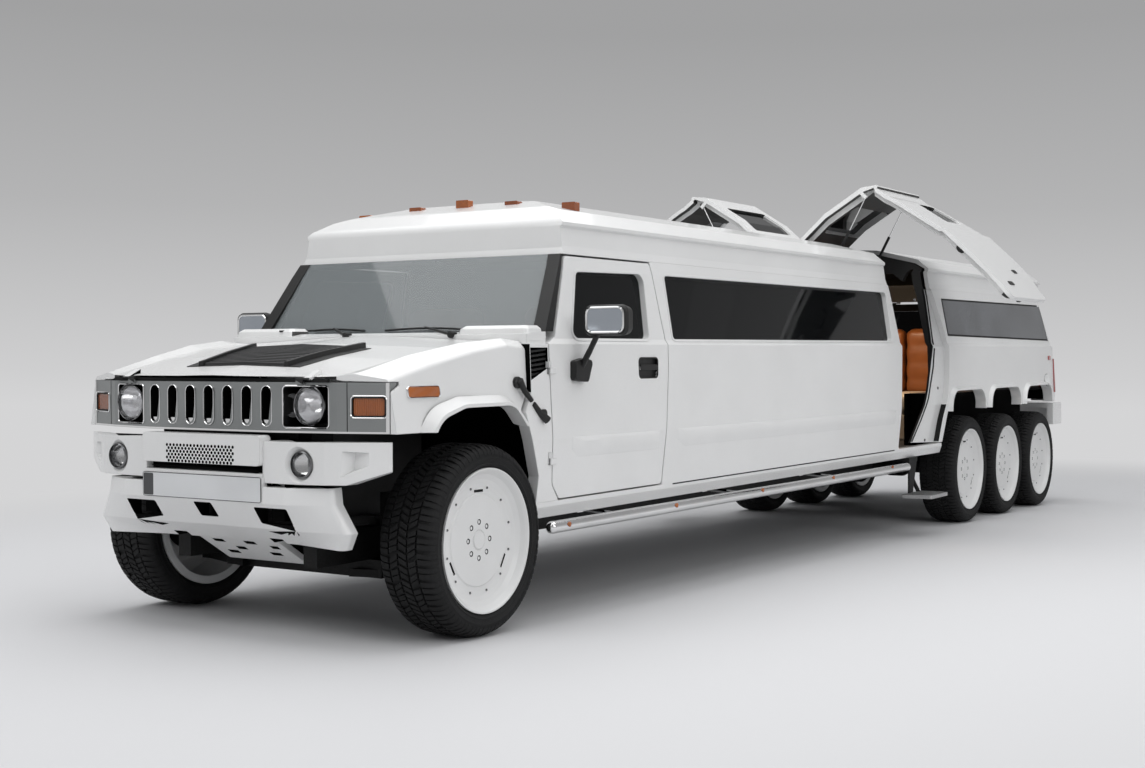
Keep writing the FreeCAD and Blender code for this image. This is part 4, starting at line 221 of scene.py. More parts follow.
glass("clear_glass", (0.30, 0.33, 0.34, 1), 0.52, 0.8)
MIRROR_FACE = finish_of("mirror_face", (0.36, 0.39, 0.43), (0.42, 0.45, 0.49), 0.12, metal=0.9, grain=60,
                        rough_spread=0.03)
LAMP_GLASS = fluted(glass("lamp_glass", (0.60, 0.61, 0.63, 1), 0.90, 1.0), 26, 0.002)
REFLECTOR = finish_of("lamp_reflector", (0.75, 0.75, 0.76), (0.98, 0.98, 0.99), 0.10, metal=0.85, grain=45,
                      depth=0.003, rough_spread=0.04)
AMBER = fluted(finish_of("amber_lens", (0.26, 0.055, 0.006), (0.44, 0.115, 0.012), 0.14, coat=0.8,
                         grain=90), 40, 0.003)
RED = fluted(finish_of("red_lens", (0.30, 0.008, 0.008), (0.42, 0.015, 0.012), 0.14, coat=0.8, grain=90),
             40, 0.003)
LOOKS.update(bright_tube=CHROME, strut_black=BLACK, strut_steel=CHROME)

# every CAD node gets the material of its slot in the record
for entry in frame["record"]["subparts"]:
    materials = NODES[entry["node"]].data.materials
    materials.clear()
    materials.append(LOOKS[entry["material_slot"]])


# ---------------- form tools
# A part is (points, faces). A finder at(u, v, lift) puts a point on a face, lifted off it.

MERGE = 0.00005
SHARP_FROM, BEVEL_FROM = math.radians(35), math.radians(40)


class Skin:
    """Finds the outer face of CAD nodes, in the body's frame or as if a door were shut."""

    def __init__(self, *names, place=BODY):
        points, faces = [], []
        back = place.inverted()
        for name in names:
            mesh = NODES[name].data
            start = len(points)
            points += [back @ vertex.co for vertex in mesh.vertices]
            faces += [[start + i for i in face.vertices] for face in mesh.polygons]
        self.tree = BVHTree.FromPolygons(points, faces)

    def hit(self, start, ray):
        return self.tree.ray_cast(Vector(start), Vector(ray))[0]

    def down(self, x, y, lift=0.0):
        return self.hit((x, y, 4), -Z) + Z * lift

    def front(self, x, z, lift=0.0):
        return self.hit((x, -4, z), Y) - Y * lift

    def side(self, y, z, lift=0.0, sign=1):
        found = self.hit((sign * 3, y, z), -sign * X) or sign * HALF * X
        return Vector((found.x + sign * lift, y, z))

    def on_side(self, sign):
        """Finder for one side; past an edge it keeps to the x of the flat part near the tail."""
        def at(y, z, lift=0.0):
            found = self.hit((sign * 3, y, z), -sign * X)
            if not found or abs(found.x) < HALF - 0.25:
                return Vector((self.side(REAR_FLAT_Y, z, lift, sign).x, y, z))
            return Vector((found.x + sign * lift, y, z))
        return at


def facing(y, way=-1):
    """Finder for a flat face across the car that looks along y, forwards or backwards."""
    return lambda x, z, lift: Vector((x, y + way * lift, z))


def joined(rings, caps=True):
    """Part over rings of points that each go once round it."""
    count = len(rings[0])
    points = [point for ring in rings for point in ring]
    faces = []
    for i in range(0, len(points) - count, count):
        faces += [[i + k, i + (k + 1) % count, i + count + (k + 1) % count, i + count + k]
                  for k in range(count)]
    if caps:
        faces += [list(range(count))[::-1], list(range(len(points) - count, len(points)))]
    return points, faces


def rect(left, right, low, high):
    return [(left, low), (right, low), (right, high), (left, high)]


def oval(x, z, wide, tall, count):
    turns = [2 * math.pi * i / count for i in range(count)]
    return [(x + wide * math.cos(turn), z + tall * math.sin(turn)) for turn in turns]


def arc(x, z, radius, start, sweep, steps):
    """Points of an arc about (x, z), in degrees."""
    turns = [math.radians(start + sweep * i / steps) for i in range(steps + 1)]
    return [(x + radius * math.cos(turn), z + radius * math.sin(turn)) for turn in turns]


def rounded(left, right, low, high, radius, steps=4):
    """Rectangle with round corners."""
    middles = rect(right - radius, left + radius, high - radius, low + radius)
    return [point for k, (x, z) in enumerate(middles) for point in arc(x, z, radius, 90 * k, 90, steps)]


def capsule(x, low, high, half, steps=8):
    """Outline of an upright slot with round ends."""
    return arc(x, high - half, half, 0, 180, steps) + arc(x, low + half, half, 180, 180, steps)


def prism(rows, low, high, place=lambda row, level: Vector((*row, level))):
    """Solid drawn out from a closed outline, upwards unless place says otherwise."""
    return joined([[place(row, level) for row in rows] for level in (low, high)])


def box_of(x0, x1, y0, y1, z0, z1):
    return prism(rect(x0, x1, y0, y1), z0, z1)


def grown(rows, by):
    """Outline moved outwards by a fixed distance at each corner."""
    middle = Vector((sum(r[0] for r in rows) / len(rows), sum(r[1] for r in rows) / len(rows)))
    made = []
    for i, row in enumerate(rows):
        along = Vector(rows[(i + 1) % len(rows)]) - Vector(rows[i - 1])
        out = Vector((along.y, -along.x)).normalized()
        if out.dot(Vector(row) - middle) < 0:
            out = -out
        made.append((row[0] + out.x * by, row[1] + out.y * by))
    return made


def rim(rows, width, at, proud, sunk=0.002):
    """Raised rim of a given width round an outline."""
    outer, middle = grown(rows, width), grown(rows, width / 2)
    loops = ((outer, -sunk), (outer, proud * 0.5), (middle, proud), (rows, proud * 0.5), (rows, -sunk),
             (outer, -sunk))
    return joined([[at(u, v, lift) for u, v in loop] for loop, lift in loops], caps=False)


def lid(rows, at, lift, sunk=0.002):
    """Thin plate over an outline."""
    count = len(rows)
    points, walls = joined([[at(u, v, level) for u, v in rows] for level in (-sunk, lift)], caps=False)
    return points, [list(range(count)), list(range(count, 2 * count))[::-1]] + walls


def strip(at, path, width, proud, sunk=0.003):
    """Rib that follows a surface along a path of (u, v) points."""
    rings = []
    for i, (u, v) in enumerate(path):
        before, after = path[max(i - 1, 0)], path[min(i + 1, len(path) - 1)]
        along = Vector((after[0] - before[0], after[1] - before[1])).normalized()
        out = Vector((along.y, -along.x)) * width / 2
        rings.append([at(u + out.x * share, v + out.y * share, lift)
                      for share, lift in ((1, -sunk), (0.8, proud), (-0.8, proud), (-1, -sunk))])
    return joined(rings)


def ring_at(centre, first, second, radius, count):
    turns = [2 * math.pi * k / count for k in range(count)]
    return [centre + (first * math.cos(turn) + second * math.sin(turn)) * radius for turn in turns]


def bar(path, radii, sides=8):
    """Round bar along a path of points, with flat ends."""
    rings = []
    for i, point in enumerate(path):
        ahead = Vector(path[min(i + 1, len(path) - 1)]) - Vector(path[max(i - 1, 0)])
        ahead.normalize()
        across = ahead.cross(Z)
        if across.length < 0.1:
            across = ahead.cross(X)
        across.normalize()
        rings.append(ring_at(Vector(point), across, across.cross(ahead), radii[i], sides))
    return joined(rings)


def turned(profile, centre, axis=Y, segments=32):
    """Ring or bowl turned about an axis through centre; profile is (along, radius)."""
    first = axis.cross(Z if abs(axis.z) < 0.9 else X).normalized()
    rings = [ring_at(Vector(centre) + axis * along, first, axis.cross(first), radius, segments)
             for along, radius in profile]
    return joined(rings, caps=False)


def mirrored(part):
    points, faces = part
    return [Vector((-p.x, p.y, p.z)) for p in points], [face[::-1] for face in faces]


def placed(name, data):
    """Puts new data into the scene as an object."""
    item = bpy.data.objects.new(name, data)
    bpy.context.scene.collection.objects.link(item)
    return item


def object_of(mesh, name, look, smooth=True):
    """Turns a bmesh into an object of the scene."""
    bmesh.ops.recalc_face_normals(mesh, faces=mesh.faces)
    data = bpy.data.meshes.new(name)
    mesh.to_mesh(data)
    mesh.free()
    for face in data.polygons:
        face.use_smooth = smooth
    data.materials.append(look)
    return placed(name, data)


def mesh_of(parts, place):
    mesh = bmesh.new()
    for points, faces in parts:
        made = [mesh.verts.new(place @ Vector(point)) for point in points]
        for face in faces:
            mesh.faces.new([made[i] for i in face])
    bmesh.ops.remove_doubles(mesh, verts=mesh.verts, dist=MERGE)
    return mesh


def piece(name, parts, look, body="root", place=BODY, smooth=False, bevel=0.0, slot=None):
    """One object of several parts, put in the row's frame and tied to its body."""
    item = object_of(mesh_of(parts, place), name, look, smooth)
    if smooth:
        item.data.set_sharp_from_angle(angle=SHARP_FROM)
    if bevel:
        soft = item.modifiers.new("soft_edges", "BEVEL")
        soft.width, soft.segments, soft.limit_method = bevel, 2, "ANGLE"
        soft.angle_limit = BEVEL_FROM
    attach(item, body)
    return item


def pair(name, parts, look, *body, **more):
    """A piece with parts on the left and their mirror images on the right."""
    piece(name, parts + [mirrored(part) for part in parts], look, *body, **more)


# ---------------- second colours on CAD nodes

ANYWHERE = [(-math.inf, math.inf)] * 3


def paint(name, look, box=ANYWHERE, test=lambda p, n: True, place=BODY):
    """Gives a second material to the faces of a CAD node that lie in a box and pass a test of their
    middle and normal. A box is three ranges; its x is the distance from the middle of the car."""
    mesh = NODES[name].data
    mesh.materials.append(look)
    back = place.inverted()
    turn = back.to_3x3()
    for face in mesh.polygons:
        spot = back @ face.center
        ranges = zip((abs(spot.x), spot.y, spot.z), box)
        if all(low <= value <= high for value, (low, high) in ranges) and test(spot, turn @ face.normal):
            face.material_index = len(mesh.materials) - 1


def outwards(point, normal):
    """How far a face looks away from the middle of the vehicle."""
    return normal.x * (1 if point.x > 0 else -1)


def paint_front():
    """Painted shade in the hollows, slots and gaps at the front, black edges and bright lamp bowls."""
    slots = (0, 0.40), (NOSE, NOSE + 0.2), (PANEL_LOW + 0.005, PANEL_TOP - 0.004)
    # painted shade on the walls of the slots in the front panel
    paint("front_panel", PAINTED_SHADE, slots, lambda p, n: abs(n.y) < 0.75)
    bucket = (0.43, 0.67), (NOSE + 0.066, 0), (PANEL_LOW + 0.02, PANEL_TOP - 0.012)
    paint("front_panel", BLACK, bucket, lambda p, n: abs(n.y) < 0.3 or p.y > NOSE + 0.15)
    # painted shade on the panel's top, in the dark gap under the bonnet's lip
    paint("front_panel", BLACK, test=lambda p, n: p.z > PANEL_TOP + 0.0005)
    paint("bonnet", BLACK, ((0.545, 0.595), (NOSE, -0.60), (PANEL_TOP, PANEL_TOP + 0.012)))
    # painted shade: the bonnet's front lip is black for the dark gap under it
    lip = (0, 0.70), (NOSE, NOSE + 0.16), (PANEL_TOP - 0.002, PANEL_TOP + 0.05)
    paint("bonnet", BLACK, lip, lambda p, n: n.y < -0.55)
    # painted shade inside the bonnet and in its wheel arches
    paint("bonnet", PAINTED_SHADE, test=lambda p, n: (n.z < -0.3 and abs(p.x) < HALF - 0.03)
          or (outwards(p, n) < -0.4 and p.z > PANEL_LOW))
    # painted shade in the bumper's vents and hollows, and on the brackets seen through them
    for x, ends, z in (((0.308, 0.504), (-0.01, 0.20), (0.540, 0.626)),
                       ((0.0, 0.057), (-0.01, 0.20), (0.558, 0.632)),
                       ((0.258, 0.348), (-0.01, 0.35), (0.428, 0.470)),
                       ((0.0, 0.655), (0.108, 0.183), (0.528, 0.672))):
        vent = x, [NOSE + end for end in ends], z
        paint("front_bumper", PAINTED_SHADE, vent, lambda p, n: abs(n.y) < 0.7)
    paint("front_bumper", PAINTED_SHADE, ((0, 0.66), (NOSE + 0.10, 0), (0.54, 0.95)), lambda p, n: n.y > -0.4)
    paint("front_bumper", PAINTED_SHADE, ((0.36, 0.50), (NOSE + 0.06, NOSE + 0.14), (0.50, 0.72)))
    skid = (0, 0.20), (NOSE + 0.22, NOSE + 0.42), (0.30, 0.49)
    paint("front_bumper", PAINTED_SHADE, skid,
          lambda p, n: abs(n.x) + abs(n.y - n.z * 0.65) > 0.8 and abs(n.z) < 0.3)
    # painted shade in the slit under the middle of the front panel
    paint("front_bumper", PAINTED_SHADE, ((0, 0.37), (NOSE + 0.058, 0), (0.76, 0.92)))
    # painted shade in the pocket behind the louvres
    louvre = (0.90, HALF - 0.016), (CAB - 0.20, CAB - 0.004), (1.150, 1.325)
    paint("cab_frame", PAINTED_SHADE, louvre, lambda p, n: outwards(p, n) > -0.5)
    # painted shade on the firewall, in the front wheel arches
    firewall = (0, 0.93), (CAB - 0.06, CAB + 0.05), (0.3, 1.16)
    paint("cab_frame", PAINTED_SHADE, firewall, lambda p, n: n.y < -0.5)
    # painted shade on the floor pan, seen in the wheel arches
    paint("floor_pan", PAINTED_SHADE, test=lambda p, n: n.z < 0.5 or p.z > FLOOR_TOP + 0.5)
    paint("portal_hoops", LINER)
    paint("headlamps", CHROME, test=lambda p, n: n.y > -0.2)


def paint_body():
    """Trim colour inside, seals at the gull-wing openings, black cups and treads outside."""
    jamb = (0.70, HALF + 0.03), (GULL_END - 0.70, GULL_END + 0.02), (SILL + 0.10, GUTTER)
    inside = (0.12, 0.99), (GULL + 0.03, GULL_END - 0.06), (SILL + 0.15, CROWN)
    cup = (HALF - 0.03, HALF - 0.0165), (DOOR_END - 0.325, DOOR_END - 0.115), (BELT - 0.21, BELT - 0.095)
    for side, sign in SIDES:
        for name in ("stretch_side", "rear_side", "door"):
            paint(f"{name}_{side}", LINER, test=lambda p, n: outwards(p, n) < -0.6)
        paint(f"rear_side_{side}", SEAL, jamb, lambda p, n: n.y < -0.35)
        paint(f"gull_door_{side}", LINER, inside, lambda p, n: outwards(p, n) < -0.45 or n.z < -0.45,
              gull_place(sign))
        paint(f"door_{side}", BLACK, cup)
    paint("roof_cap", LINER,
          test=lambda p, n: n.z < -0.25 and abs(p.x) < HALF - 0.24 and p.z > GUTTER + 0.002)
    paint("roof_cap", LINER, test=lambda p, n: outwards(p, n) < -0.6 and GUTTER < p.z < LIP)
    paint("cab_frame", LINER,
          test=lambda p, n: outwards(p, n) < -0.6 or (n.y > 0.7 and abs(p.x) < HALF - 0.08))
    paint("tailgate", LINER, test=lambda p, n: n.y < -0.6)
    paint("tailgate", BLACK, ((0, 0.285), (TAIL - 0.056, TAIL - 0.01), (SILL + 0.46, SILL + 0.65)))
    tread = (0, HALF - 0.12), (TAIL + 0.05, TAIL + 0.23), (0.785, 0.792)
    paint("rear_bumper", BLACK, tread, lambda p, n: n.z > 0.7)
    paint("entry_steps", TREAD_PLATE, test=lambda p, n: p.z < 0.235)


def hub(wheel, sign, depth):
    """Middle of a wheel, moved to a depth behind its outermost face."""
    low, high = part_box(f"wheel_{wheel}")
    middle = (low + high) / 2
    middle.x = (high.x if sign > 0 else low.x) - sign * depth
    return middle


def paint_wheels():
    """Painted shade in the slots of each wheel, and dark grey in its nut recesses."""
    def ring_test(middle, depths, radii, flattest):
        def chosen(p, n):
            return (depths[0] < abs(middle.x) - abs(p.x) < depths[1] and abs(n.x) < flattest
                    and radii[0] < math.hypot(p.y - middle.y, p.z - middle.z) < radii[1])
        return chosen
    for wheel, sign in WHEELS:
        middle = hub(wheel, sign, 0.051)
        # painted shade in the slots, then dark grey in the nut recesses
        for look, *test in ((PAINTED_SHADE, (0.0052, 0.0125), (0.213, 0.234), 0.5),
                            (GREY_PANEL, (0.0012, 0.009), (0.066, 0.099), 2)):
            paint(f"wheel_{wheel}", look, ANYWHERE, ring_test(middle, *test), UNTURNED)


paint_front()
paint_body()
paint_wheels()


# ---------------- tyres and wheel bolts

CARCASS = [  # across, radius
    (0.132, 0.316), (0.133, 0.333), (0.147, 0.346), (0.1495, 0.352), (0.1475, 0.356), (0.150, 0.372),
    (0.1515, 0.378), (0.149, 0.384), (0.149, 0.398), (0.142, 0.413), (0.128, 0.4225), (0.100, 0.4275),
    (0.050, 0.4290), (0.0, 0.4295),
]
# tread rows: positions across the tyre with the tread's radius there
CENTRE_ROW = [(-0.021, 0.4402), (0.021, 0.4402)]
MIDDLE_ROW = [(0.030, 0.4402), (0.072, 0.4396)]
SHOULDER_ROW = [(0.081, 0.4390), (0.108, 0.4358), (0.130, 0.4262), (0.144, 0.4130), (0.1512, 0.3960)]
BLOCKS = 42
PITCH = 2 * math.pi / BLOCKS
CHAMFER, GROOVE = 0.004, 0.011
BOLTS, BOLT_CIRCLE = 12, 0.243


def tread_block(row, start, end, lean, foot):
    """One tread block between two angles; lean shifts it along the tread from edge to edge."""
    rings = []
    first, last = row[0][0], row[-1][0]
    for across, radius in row:
        shift = lean * (across - first) / (last - first)
        base = radius - foot * (0.6 if across > 0.14 else 1.0)
        corners = ((start, base), (start + CHAMFER, radius), (end - CHAMFER, radius), (end, base))
        rings.append([Vector((across, math.cos(angle + shift) * level, math.sin(angle + shift) * level))
                      for angle, level in corners])
    return joined(rings)


def tyre_parts():
    """All-terrain tyre about the x axis: a carcass with block rows and shoulder lugs."""
    profile = CARCASS + [(-across, radius) for across, radius in reversed(CARCASS[:-1])]
    parts = [turned(profile, (0, 0, 0), X, 96)]
    wobble = random.Random(7)
    for i in range(BLOCKS):
        for sign in (1, -1):
            lean = (0.35 if i % 2 else 0.20) * PITCH * sign
            long = PITCH * (0.80 + 0.05 * wobble.random())
            start = i * PITCH + (0 if sign > 0 else PITCH * 0.45)
            cut = start + long * (0.46 + 0.06 * wobble.random())
            middle, shoulder = ([(sign * a, r) for a, r in row] for row in (MIDDLE_ROW, SHOULDER_ROW))
            for low, high in ((start, cut - CHAMFER), (cut + CHAMFER, start + long)):
                parts.append(tread_block(middle, low, high, -lean, GROOVE))
                parts.append(tread_block(shoulder, low + PITCH * 0.3, high + PITCH * 0.3, lean * 0.4, 0.010))
        for low in (0.20, 0.66):
            start = (i + low) * PITCH
            parts.append(tread_block(CENTRE_ROW, start, start + PITCH * 0.38, PITCH * 0.30, GROOVE))
    return parts


def make_tyres():
    parts = tyre_parts()
    for wheel, sign in WHEELS:
        name = f"tyre_{wheel}"
        low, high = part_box(name)
        middle = (low + high) / 2
        place = Matrix.Translation((middle.x, middle.y, WHEEL_RADIUS))
        if sign < 0:
            place = place @ Matrix.Rotation(math.pi, 4, "Z")
        tyre = piece(f"treaded_{name}", parts, RUBBER, f"road_wheel_{wheel}", place, smooth=True,
                     slot="tyre_rubber")
        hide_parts(name)


def make_wheel_bolts():
    """A ring of small bolts round each wheel's face."""
    head = [(-0.004, 0.0065), (0.004, 0.0065), (0.006, 0.0045), (0.0065, 0.0)]
    for wheel, sign in WHEELS:
        spots = ring_at(hub(wheel, sign, 0.056), Y, Z, BOLT_CIRCLE, 2 * BOLTS)[1::2]
        piece(f"wheel_bolts_{wheel}", [turned(head, spot, sign * X, 6) for spot in spots], DARK_CHROME,
              f"road_wheel_{wheel}", UNTURNED, slot="strut_steel")


make_tyres()
make_wheel_bolts()


# ---------------- front panel, lamps and bumper

PANEL_KNEES = ((0.0, 0.057), (0.380, 0.062), (0.700, 0.127), (0.930, 0.206))  # across, behind the nose
HEADLAMP = (0.564, NOSE + 0.105, 1.067)
PARKING_LAMP = (0.470, NOSE + 0.122, 1.067)
FOG_LAMP = (0.577, NOSE + 0.040, 0.816)


def panel_face(x, z, lift, at_x=None):
    """Finder for the panel's front face, whose flats meet at knees; at_x is where it looks outwards."""
    def flat(across):
        for (x0, y0), (x1, y1) in zip(PANEL_KNEES, PANEL_KNEES[1:]):
            if across <= x1:
                break
        slope = (y1 - y0) / (x1 - x0)
        return y0 + slope * (across - x0), slope
    looks = x if at_x is None else at_x
    out = Vector(((1 if looks > 0 else -1) * flat(abs(looks))[1], -1, 0)).normalized()
    return Vector((x, NOSE + flat(abs(x))[0], z)) + out * lift


def make_grille():
    """Bright rims round the slots, chrome cups at their feet, a dark sheet of painted shade behind, and bright
    edges.
    """
    slots = [0.117 * (k - 3) for k in range(7)]
    piece("grille_rims", [rim(capsule(x, 0.977, 1.151, 0.029), 0.004, panel_face, 0.003) for x in slots],
          CHROME, smooth=True)
    foot = [(-0.027, 0.980), (-0.018, 0.976), (0.018, 0.976), (0.027, 0.980), (0.024, 1.004), (-0.024, 1.004)]
    sunk_face = lambda u, v, lift: panel_face(u, v, lift - 0.012)
    cups = [lid([(x + across, z) for across, z in foot], sunk_face, 0.004, 0.012) for x in slots]
    piece("grille_cups", cups, CHROME, bevel=0.002)
    # a dark sheet of painted shade behind the slots
    screen = box_of(-0.385, 0.385, NOSE + 0.112, NOSE + 0.114, PANEL_LOW + 0.004, PANEL_TOP - 0.004)
    piece("grille_shade_sheet", [screen], PAINTED_SHADE)
    edge, top = PANEL_LOW + 0.001, PANEL_TOP - 0.001
    stops = (-0.928, -0.702, -0.380, 0.380, 0.702, 0.928)
    runs = [lid(rect(x0, x1, edge, edge + 0.008),
                lambda u, v, lift, middle=(x0 + x1) / 2: panel_face(u, v, lift, middle), 0.003, 0.004)
            for x0, x1 in zip(stops, stops[1:])]
    piece("panel_lower_edge", runs, CHROME, smooth=True)
    # dark lines of painted shade in the panel's seams
    pair("panel_seams", [lid(rect(0.744, 0.747, edge, top), panel_face, 0.0008)], PAINTED_SHADE)
    pair("panel_end_bevels", [lid(rect(0.914, 0.9295, edge, top), panel_face, 0.004, 0.004)], CHROME)


def make_headlamp_trim():
    """Rims, bowls, rings and bulbs of the lamps in the front panel."""
    def lamps(name, parts, look):
        pair(name, parts, look, smooth=True)
    lens = rounded(0.441, 0.659, 0.974, 1.150, 0.014)
    lamps("headlamp_rims", [rim(lens, 0.007, panel_face, 0.006)], CHROME)
    bowl = [(0.085, 0.012), (0.080, 0.030), (0.060, 0.052), (0.030, 0.066), (0.004, 0.0715)]
    small = [(0.050, 0.006), (0.045, 0.024), (0.020, 0.042), (-0.020, 0.052)]
    ring = [(0.020, 0.0822), (-0.004, 0.0822), (-0.008, 0.0850), (-0.004, 0.0885), (0.020, 0.0885)]
    bulb = [(0.060, 0.014), (0.030, 0.014), (0.022, 0.008), (0.020, 0.0)]
    lamps("headlamp_bowls", [turned(bowl, HEADLAMP), turned(small, PARKING_LAMP, Y, 28)], REFLECTOR)
    lamps("headlamp_rings", [turned(ring, HEADLAMP, Y, 40)], DARK_CHROME)
    lamps("headlamp_bulbs", [turned(bulb, HEADLAMP, Y, 16)], LAMP_GLASS)
    lamps("turn_lamp_rims", [rim(rounded(0.765, 0.913, 1.020, 1.107, 0.012), 0.007, panel_face, 0.006)],
         CHROME)
    lamps("turn_lamp_seats", [rim(rounded(0.771, 0.907, 1.026, 1.101, 0.010), 0.006, panel_face, 0.004)],
         SEAL)


def make_bonnet_gap_shade():
    """Dark strip of painted shade in the gap between the front panel and the bonnet's lip."""
    # painted shade: a black strip where the gap under the bonnet's lip is dark
    seal = box_of(-0.67, 0.67, -0.672, -0.655, PANEL_TOP + 0.0005, PANEL_TOP + 0.016)
    piece("bonnet_gap_shade", [seal], SEAL)


def make_bumper_trim():
    """Fog lamp rings, rows of small holes as dark discs of painted shade, the blank number plate and a slit as a
    strip of painted shade.
    """
    ring = [(0.020, 0.0598), (-0.006, 0.0598), (-0.012, 0.0545), (-0.002, 0.0505), (0.004, 0.0505)]
    pair("fog_lamp_rings", [turned(ring, FOG_LAMP, Y, 40)], DARK_CHROME, smooth=True)
    # the holes are dark discs of painted shade on the bumper's face
    holes, size, pitch, rise = [], 0.0072, 0.0218, 0.0142
    for row in range(6):
        count = 20 if row % 2 else 19
        holes += [lid(oval((k - (count - 1) / 2) * pitch, 0.811 + row * rise, size, size, 10),
                      facing(NOSE), 0.0003, 0.001) for k in range(count)]
    piece("bumper_perforations", holes, PAINTED_SHADE)
    face = facing(NOSE + 0.006)
    piece("front_plate", [lid(rounded(-0.371, 0.371, 0.644, 0.754, 0.008), face, 0.0032)], PLATE)
    edge = rounded(-0.368, 0.368, 0.647, 0.751, 0.007)
    piece("front_plate_edge", [rim(edge, 0.004, face, 0.0042)], BLACK)
    band = rounded(-0.366, -0.302, 0.649, 0.749, 0.006)
    piece("front_plate_band", [lid(band, face, 0.0038)], GREY_PANEL)
    # the slit is a dark strip of painted shade
    slit = [(-0.330, 0.789), (0.335, 0.786), (0.350, 0.780), (0.350, 0.771), (-0.300, 0.779)]
    piece("bumper_slit", [lid(slit, facing(NOSE + 0.015), 0.001, 0.001)], PAINTED_SHADE)


make_grille()
make_headlamp_trim()
make_bonnet_gap_shade()
make_bumper_trim()


# ---------------- bonnet

BONNET, CAB_SKIN = Skin("bonnet"), Skin("cab_frame")
VENT_FRONT, VENT_REAR = -0.505, -0.085


def make_bonnet_vent():
    """Black ribbed vent with two raised rails, on top of the bonnet; the ribs are a lighter black, their satin
    with a painted highlight.
    """
    run = VENT_REAR - VENT_FRONT
    rows, columns, ribs = 8, 6, 15
    plates = []
    for i in range(rows):
        ends = [i / rows, (i + 1) / rows]
        for k in range(columns):
            corners = [((0.36 + 0.06 * t) * (2 * (k + side) / columns - 1), VENT_FRONT + run * t)
                       for t, side in zip((ends[0], ends[0], ends[1], ends[1]), (0, 1, 1, 0))]
            plates.append(lid(corners, BONNET.down, 0.003, 0.004))
    piece("bonnet_vent_plate", plates, BLACK, "bonnet_lid")
    made = []
    for i in range(ribs):
        y = VENT_FRONT + 0.02 + (run - 0.04) * i / (ribs - 1)
        reach = 0.250 + 0.075 * (y - VENT_FRONT) / run
        made.append(strip(BONNET.down, [(reach * (k / 3 - 1), y) for k in range(7)], 0.012, 0.013))
    # ribs in a lighter black: their satin, with a painted highlight
    piece("bonnet_vent_ribs", made, SATIN_WITH_HIGHLIGHT, "bonnet_lid")
    path = [(0.272 + 0.085 * (i / 8) ** 1.4, VENT_FRONT + 0.005 + (run + 0.02) * i / 8) for i in range(9)]
    pair("bonnet_vent_rails", [strip(BONNET.down, path, 0.030, 0.024)], BLACK, "bonnet_lid", smooth=True)


def make_bonnet_sides():
    """Side markers and the bonnet's rubber latches."""
    lens = rounded(-0.468, -0.268, 1.103, 1.147, 0.012)
    pair("side_markers", [lid(lens, BONNET.side, 0.010, 0.004)], AMBER, "bonnet_lid", bevel=0.003)
    pair("side_marker_rims", [rim(lens, 0.006, BONNET.side, 0.011)], CHROME, "bonnet_lid", smooth=True)
    base = BONNET.side(0.312, 1.153)
    disc = turned([(-0.004, 0.028), (0.014, 0.028), (0.020, 0.020), (0.022, 0.0)], base, X, 24)
    knob = turned([(0.0, 0.012), (0.034, 0.012), (0.037, 0.0)], base, X, 16)
    x = base.x + 0.026
    grip = bar([(x, 0.305, 1.165), (x, 0.345, 1.112), (x + 0.002, 0.400, 1.066)], [0.017, 0.014, 0.012])
    pair("bonnet_latch_tops", [disc, knob, grip], BLACK, "bonnet_lid", smooth=True)
    lower = CAB_SKIN.side(0.500, 1.000)
    foot = turned([(-0.004, 0.022), (0.012, 0.022), (0.015, 0.0)], lower, X, 20)
    strap = bar([(x + 0.002, 0.418, 1.050), (x, 0.470, 1.005), (lower.x + 0.020, 0.512, 0.968)],
                [0.012, 0.017, 0.021])
    pair("bonnet_latch_feet", [foot, strap], BLACK, smooth=True)


def make_louvres():
    """Black slats in the pocket behind the bonnet."""
    floor = CAB_SKIN.side(0.480, 1.260).x
    slats = []
    for z in [1.186 + k * 0.0225 for k in range(6)]:
        rows = [(0.410, z - 0.006), (0.410, z + 0.004), (CAB - 0.017, z + 0.016), (CAB - 0.017, z + 0.006)]
        slats.append(prism(rows, floor - 0.002, floor + 0.022, lambda row, level: Vector((level, *row))))
    pair("cowl_louvres", slats, BLACK, bevel=0.002)


make_bonnet_vent()
make_bonnet_sides()
make_louvres()


# ---------------- cab details

def make_wipers():
    screen = Skin("windscreen", "windscreen_frame", "cab_frame")
    foot_z = BELT + 0.030
    arms = []
    for start, end, pivot in ((-0.63, -0.20, -0.16), (-0.06, 0.47, 0.52)):
        path = [screen.front(start + (end - start) * k / 6,
                             foot_z + 0.020 + 0.010 * math.sin(math.pi * k / 6), 0.016) for k in range(7)]
        base = screen.front(pivot, foot_z - 0.008, 0.012)
        arms.append(bar(path, [0.006] * 7, 6))
        arms.append(bar([base, screen.front((start + end) / 2, foot_z + 0.034, 0.024)], [0.010, 0.006]))
        arms.append(turned([(-0.030, 0.017), (0.010, 0.017), (0.014, 0.010), (0.015, 0.0)], base, -Y, 16))
    piece("wipers", arms, BLACK, smooth=True)


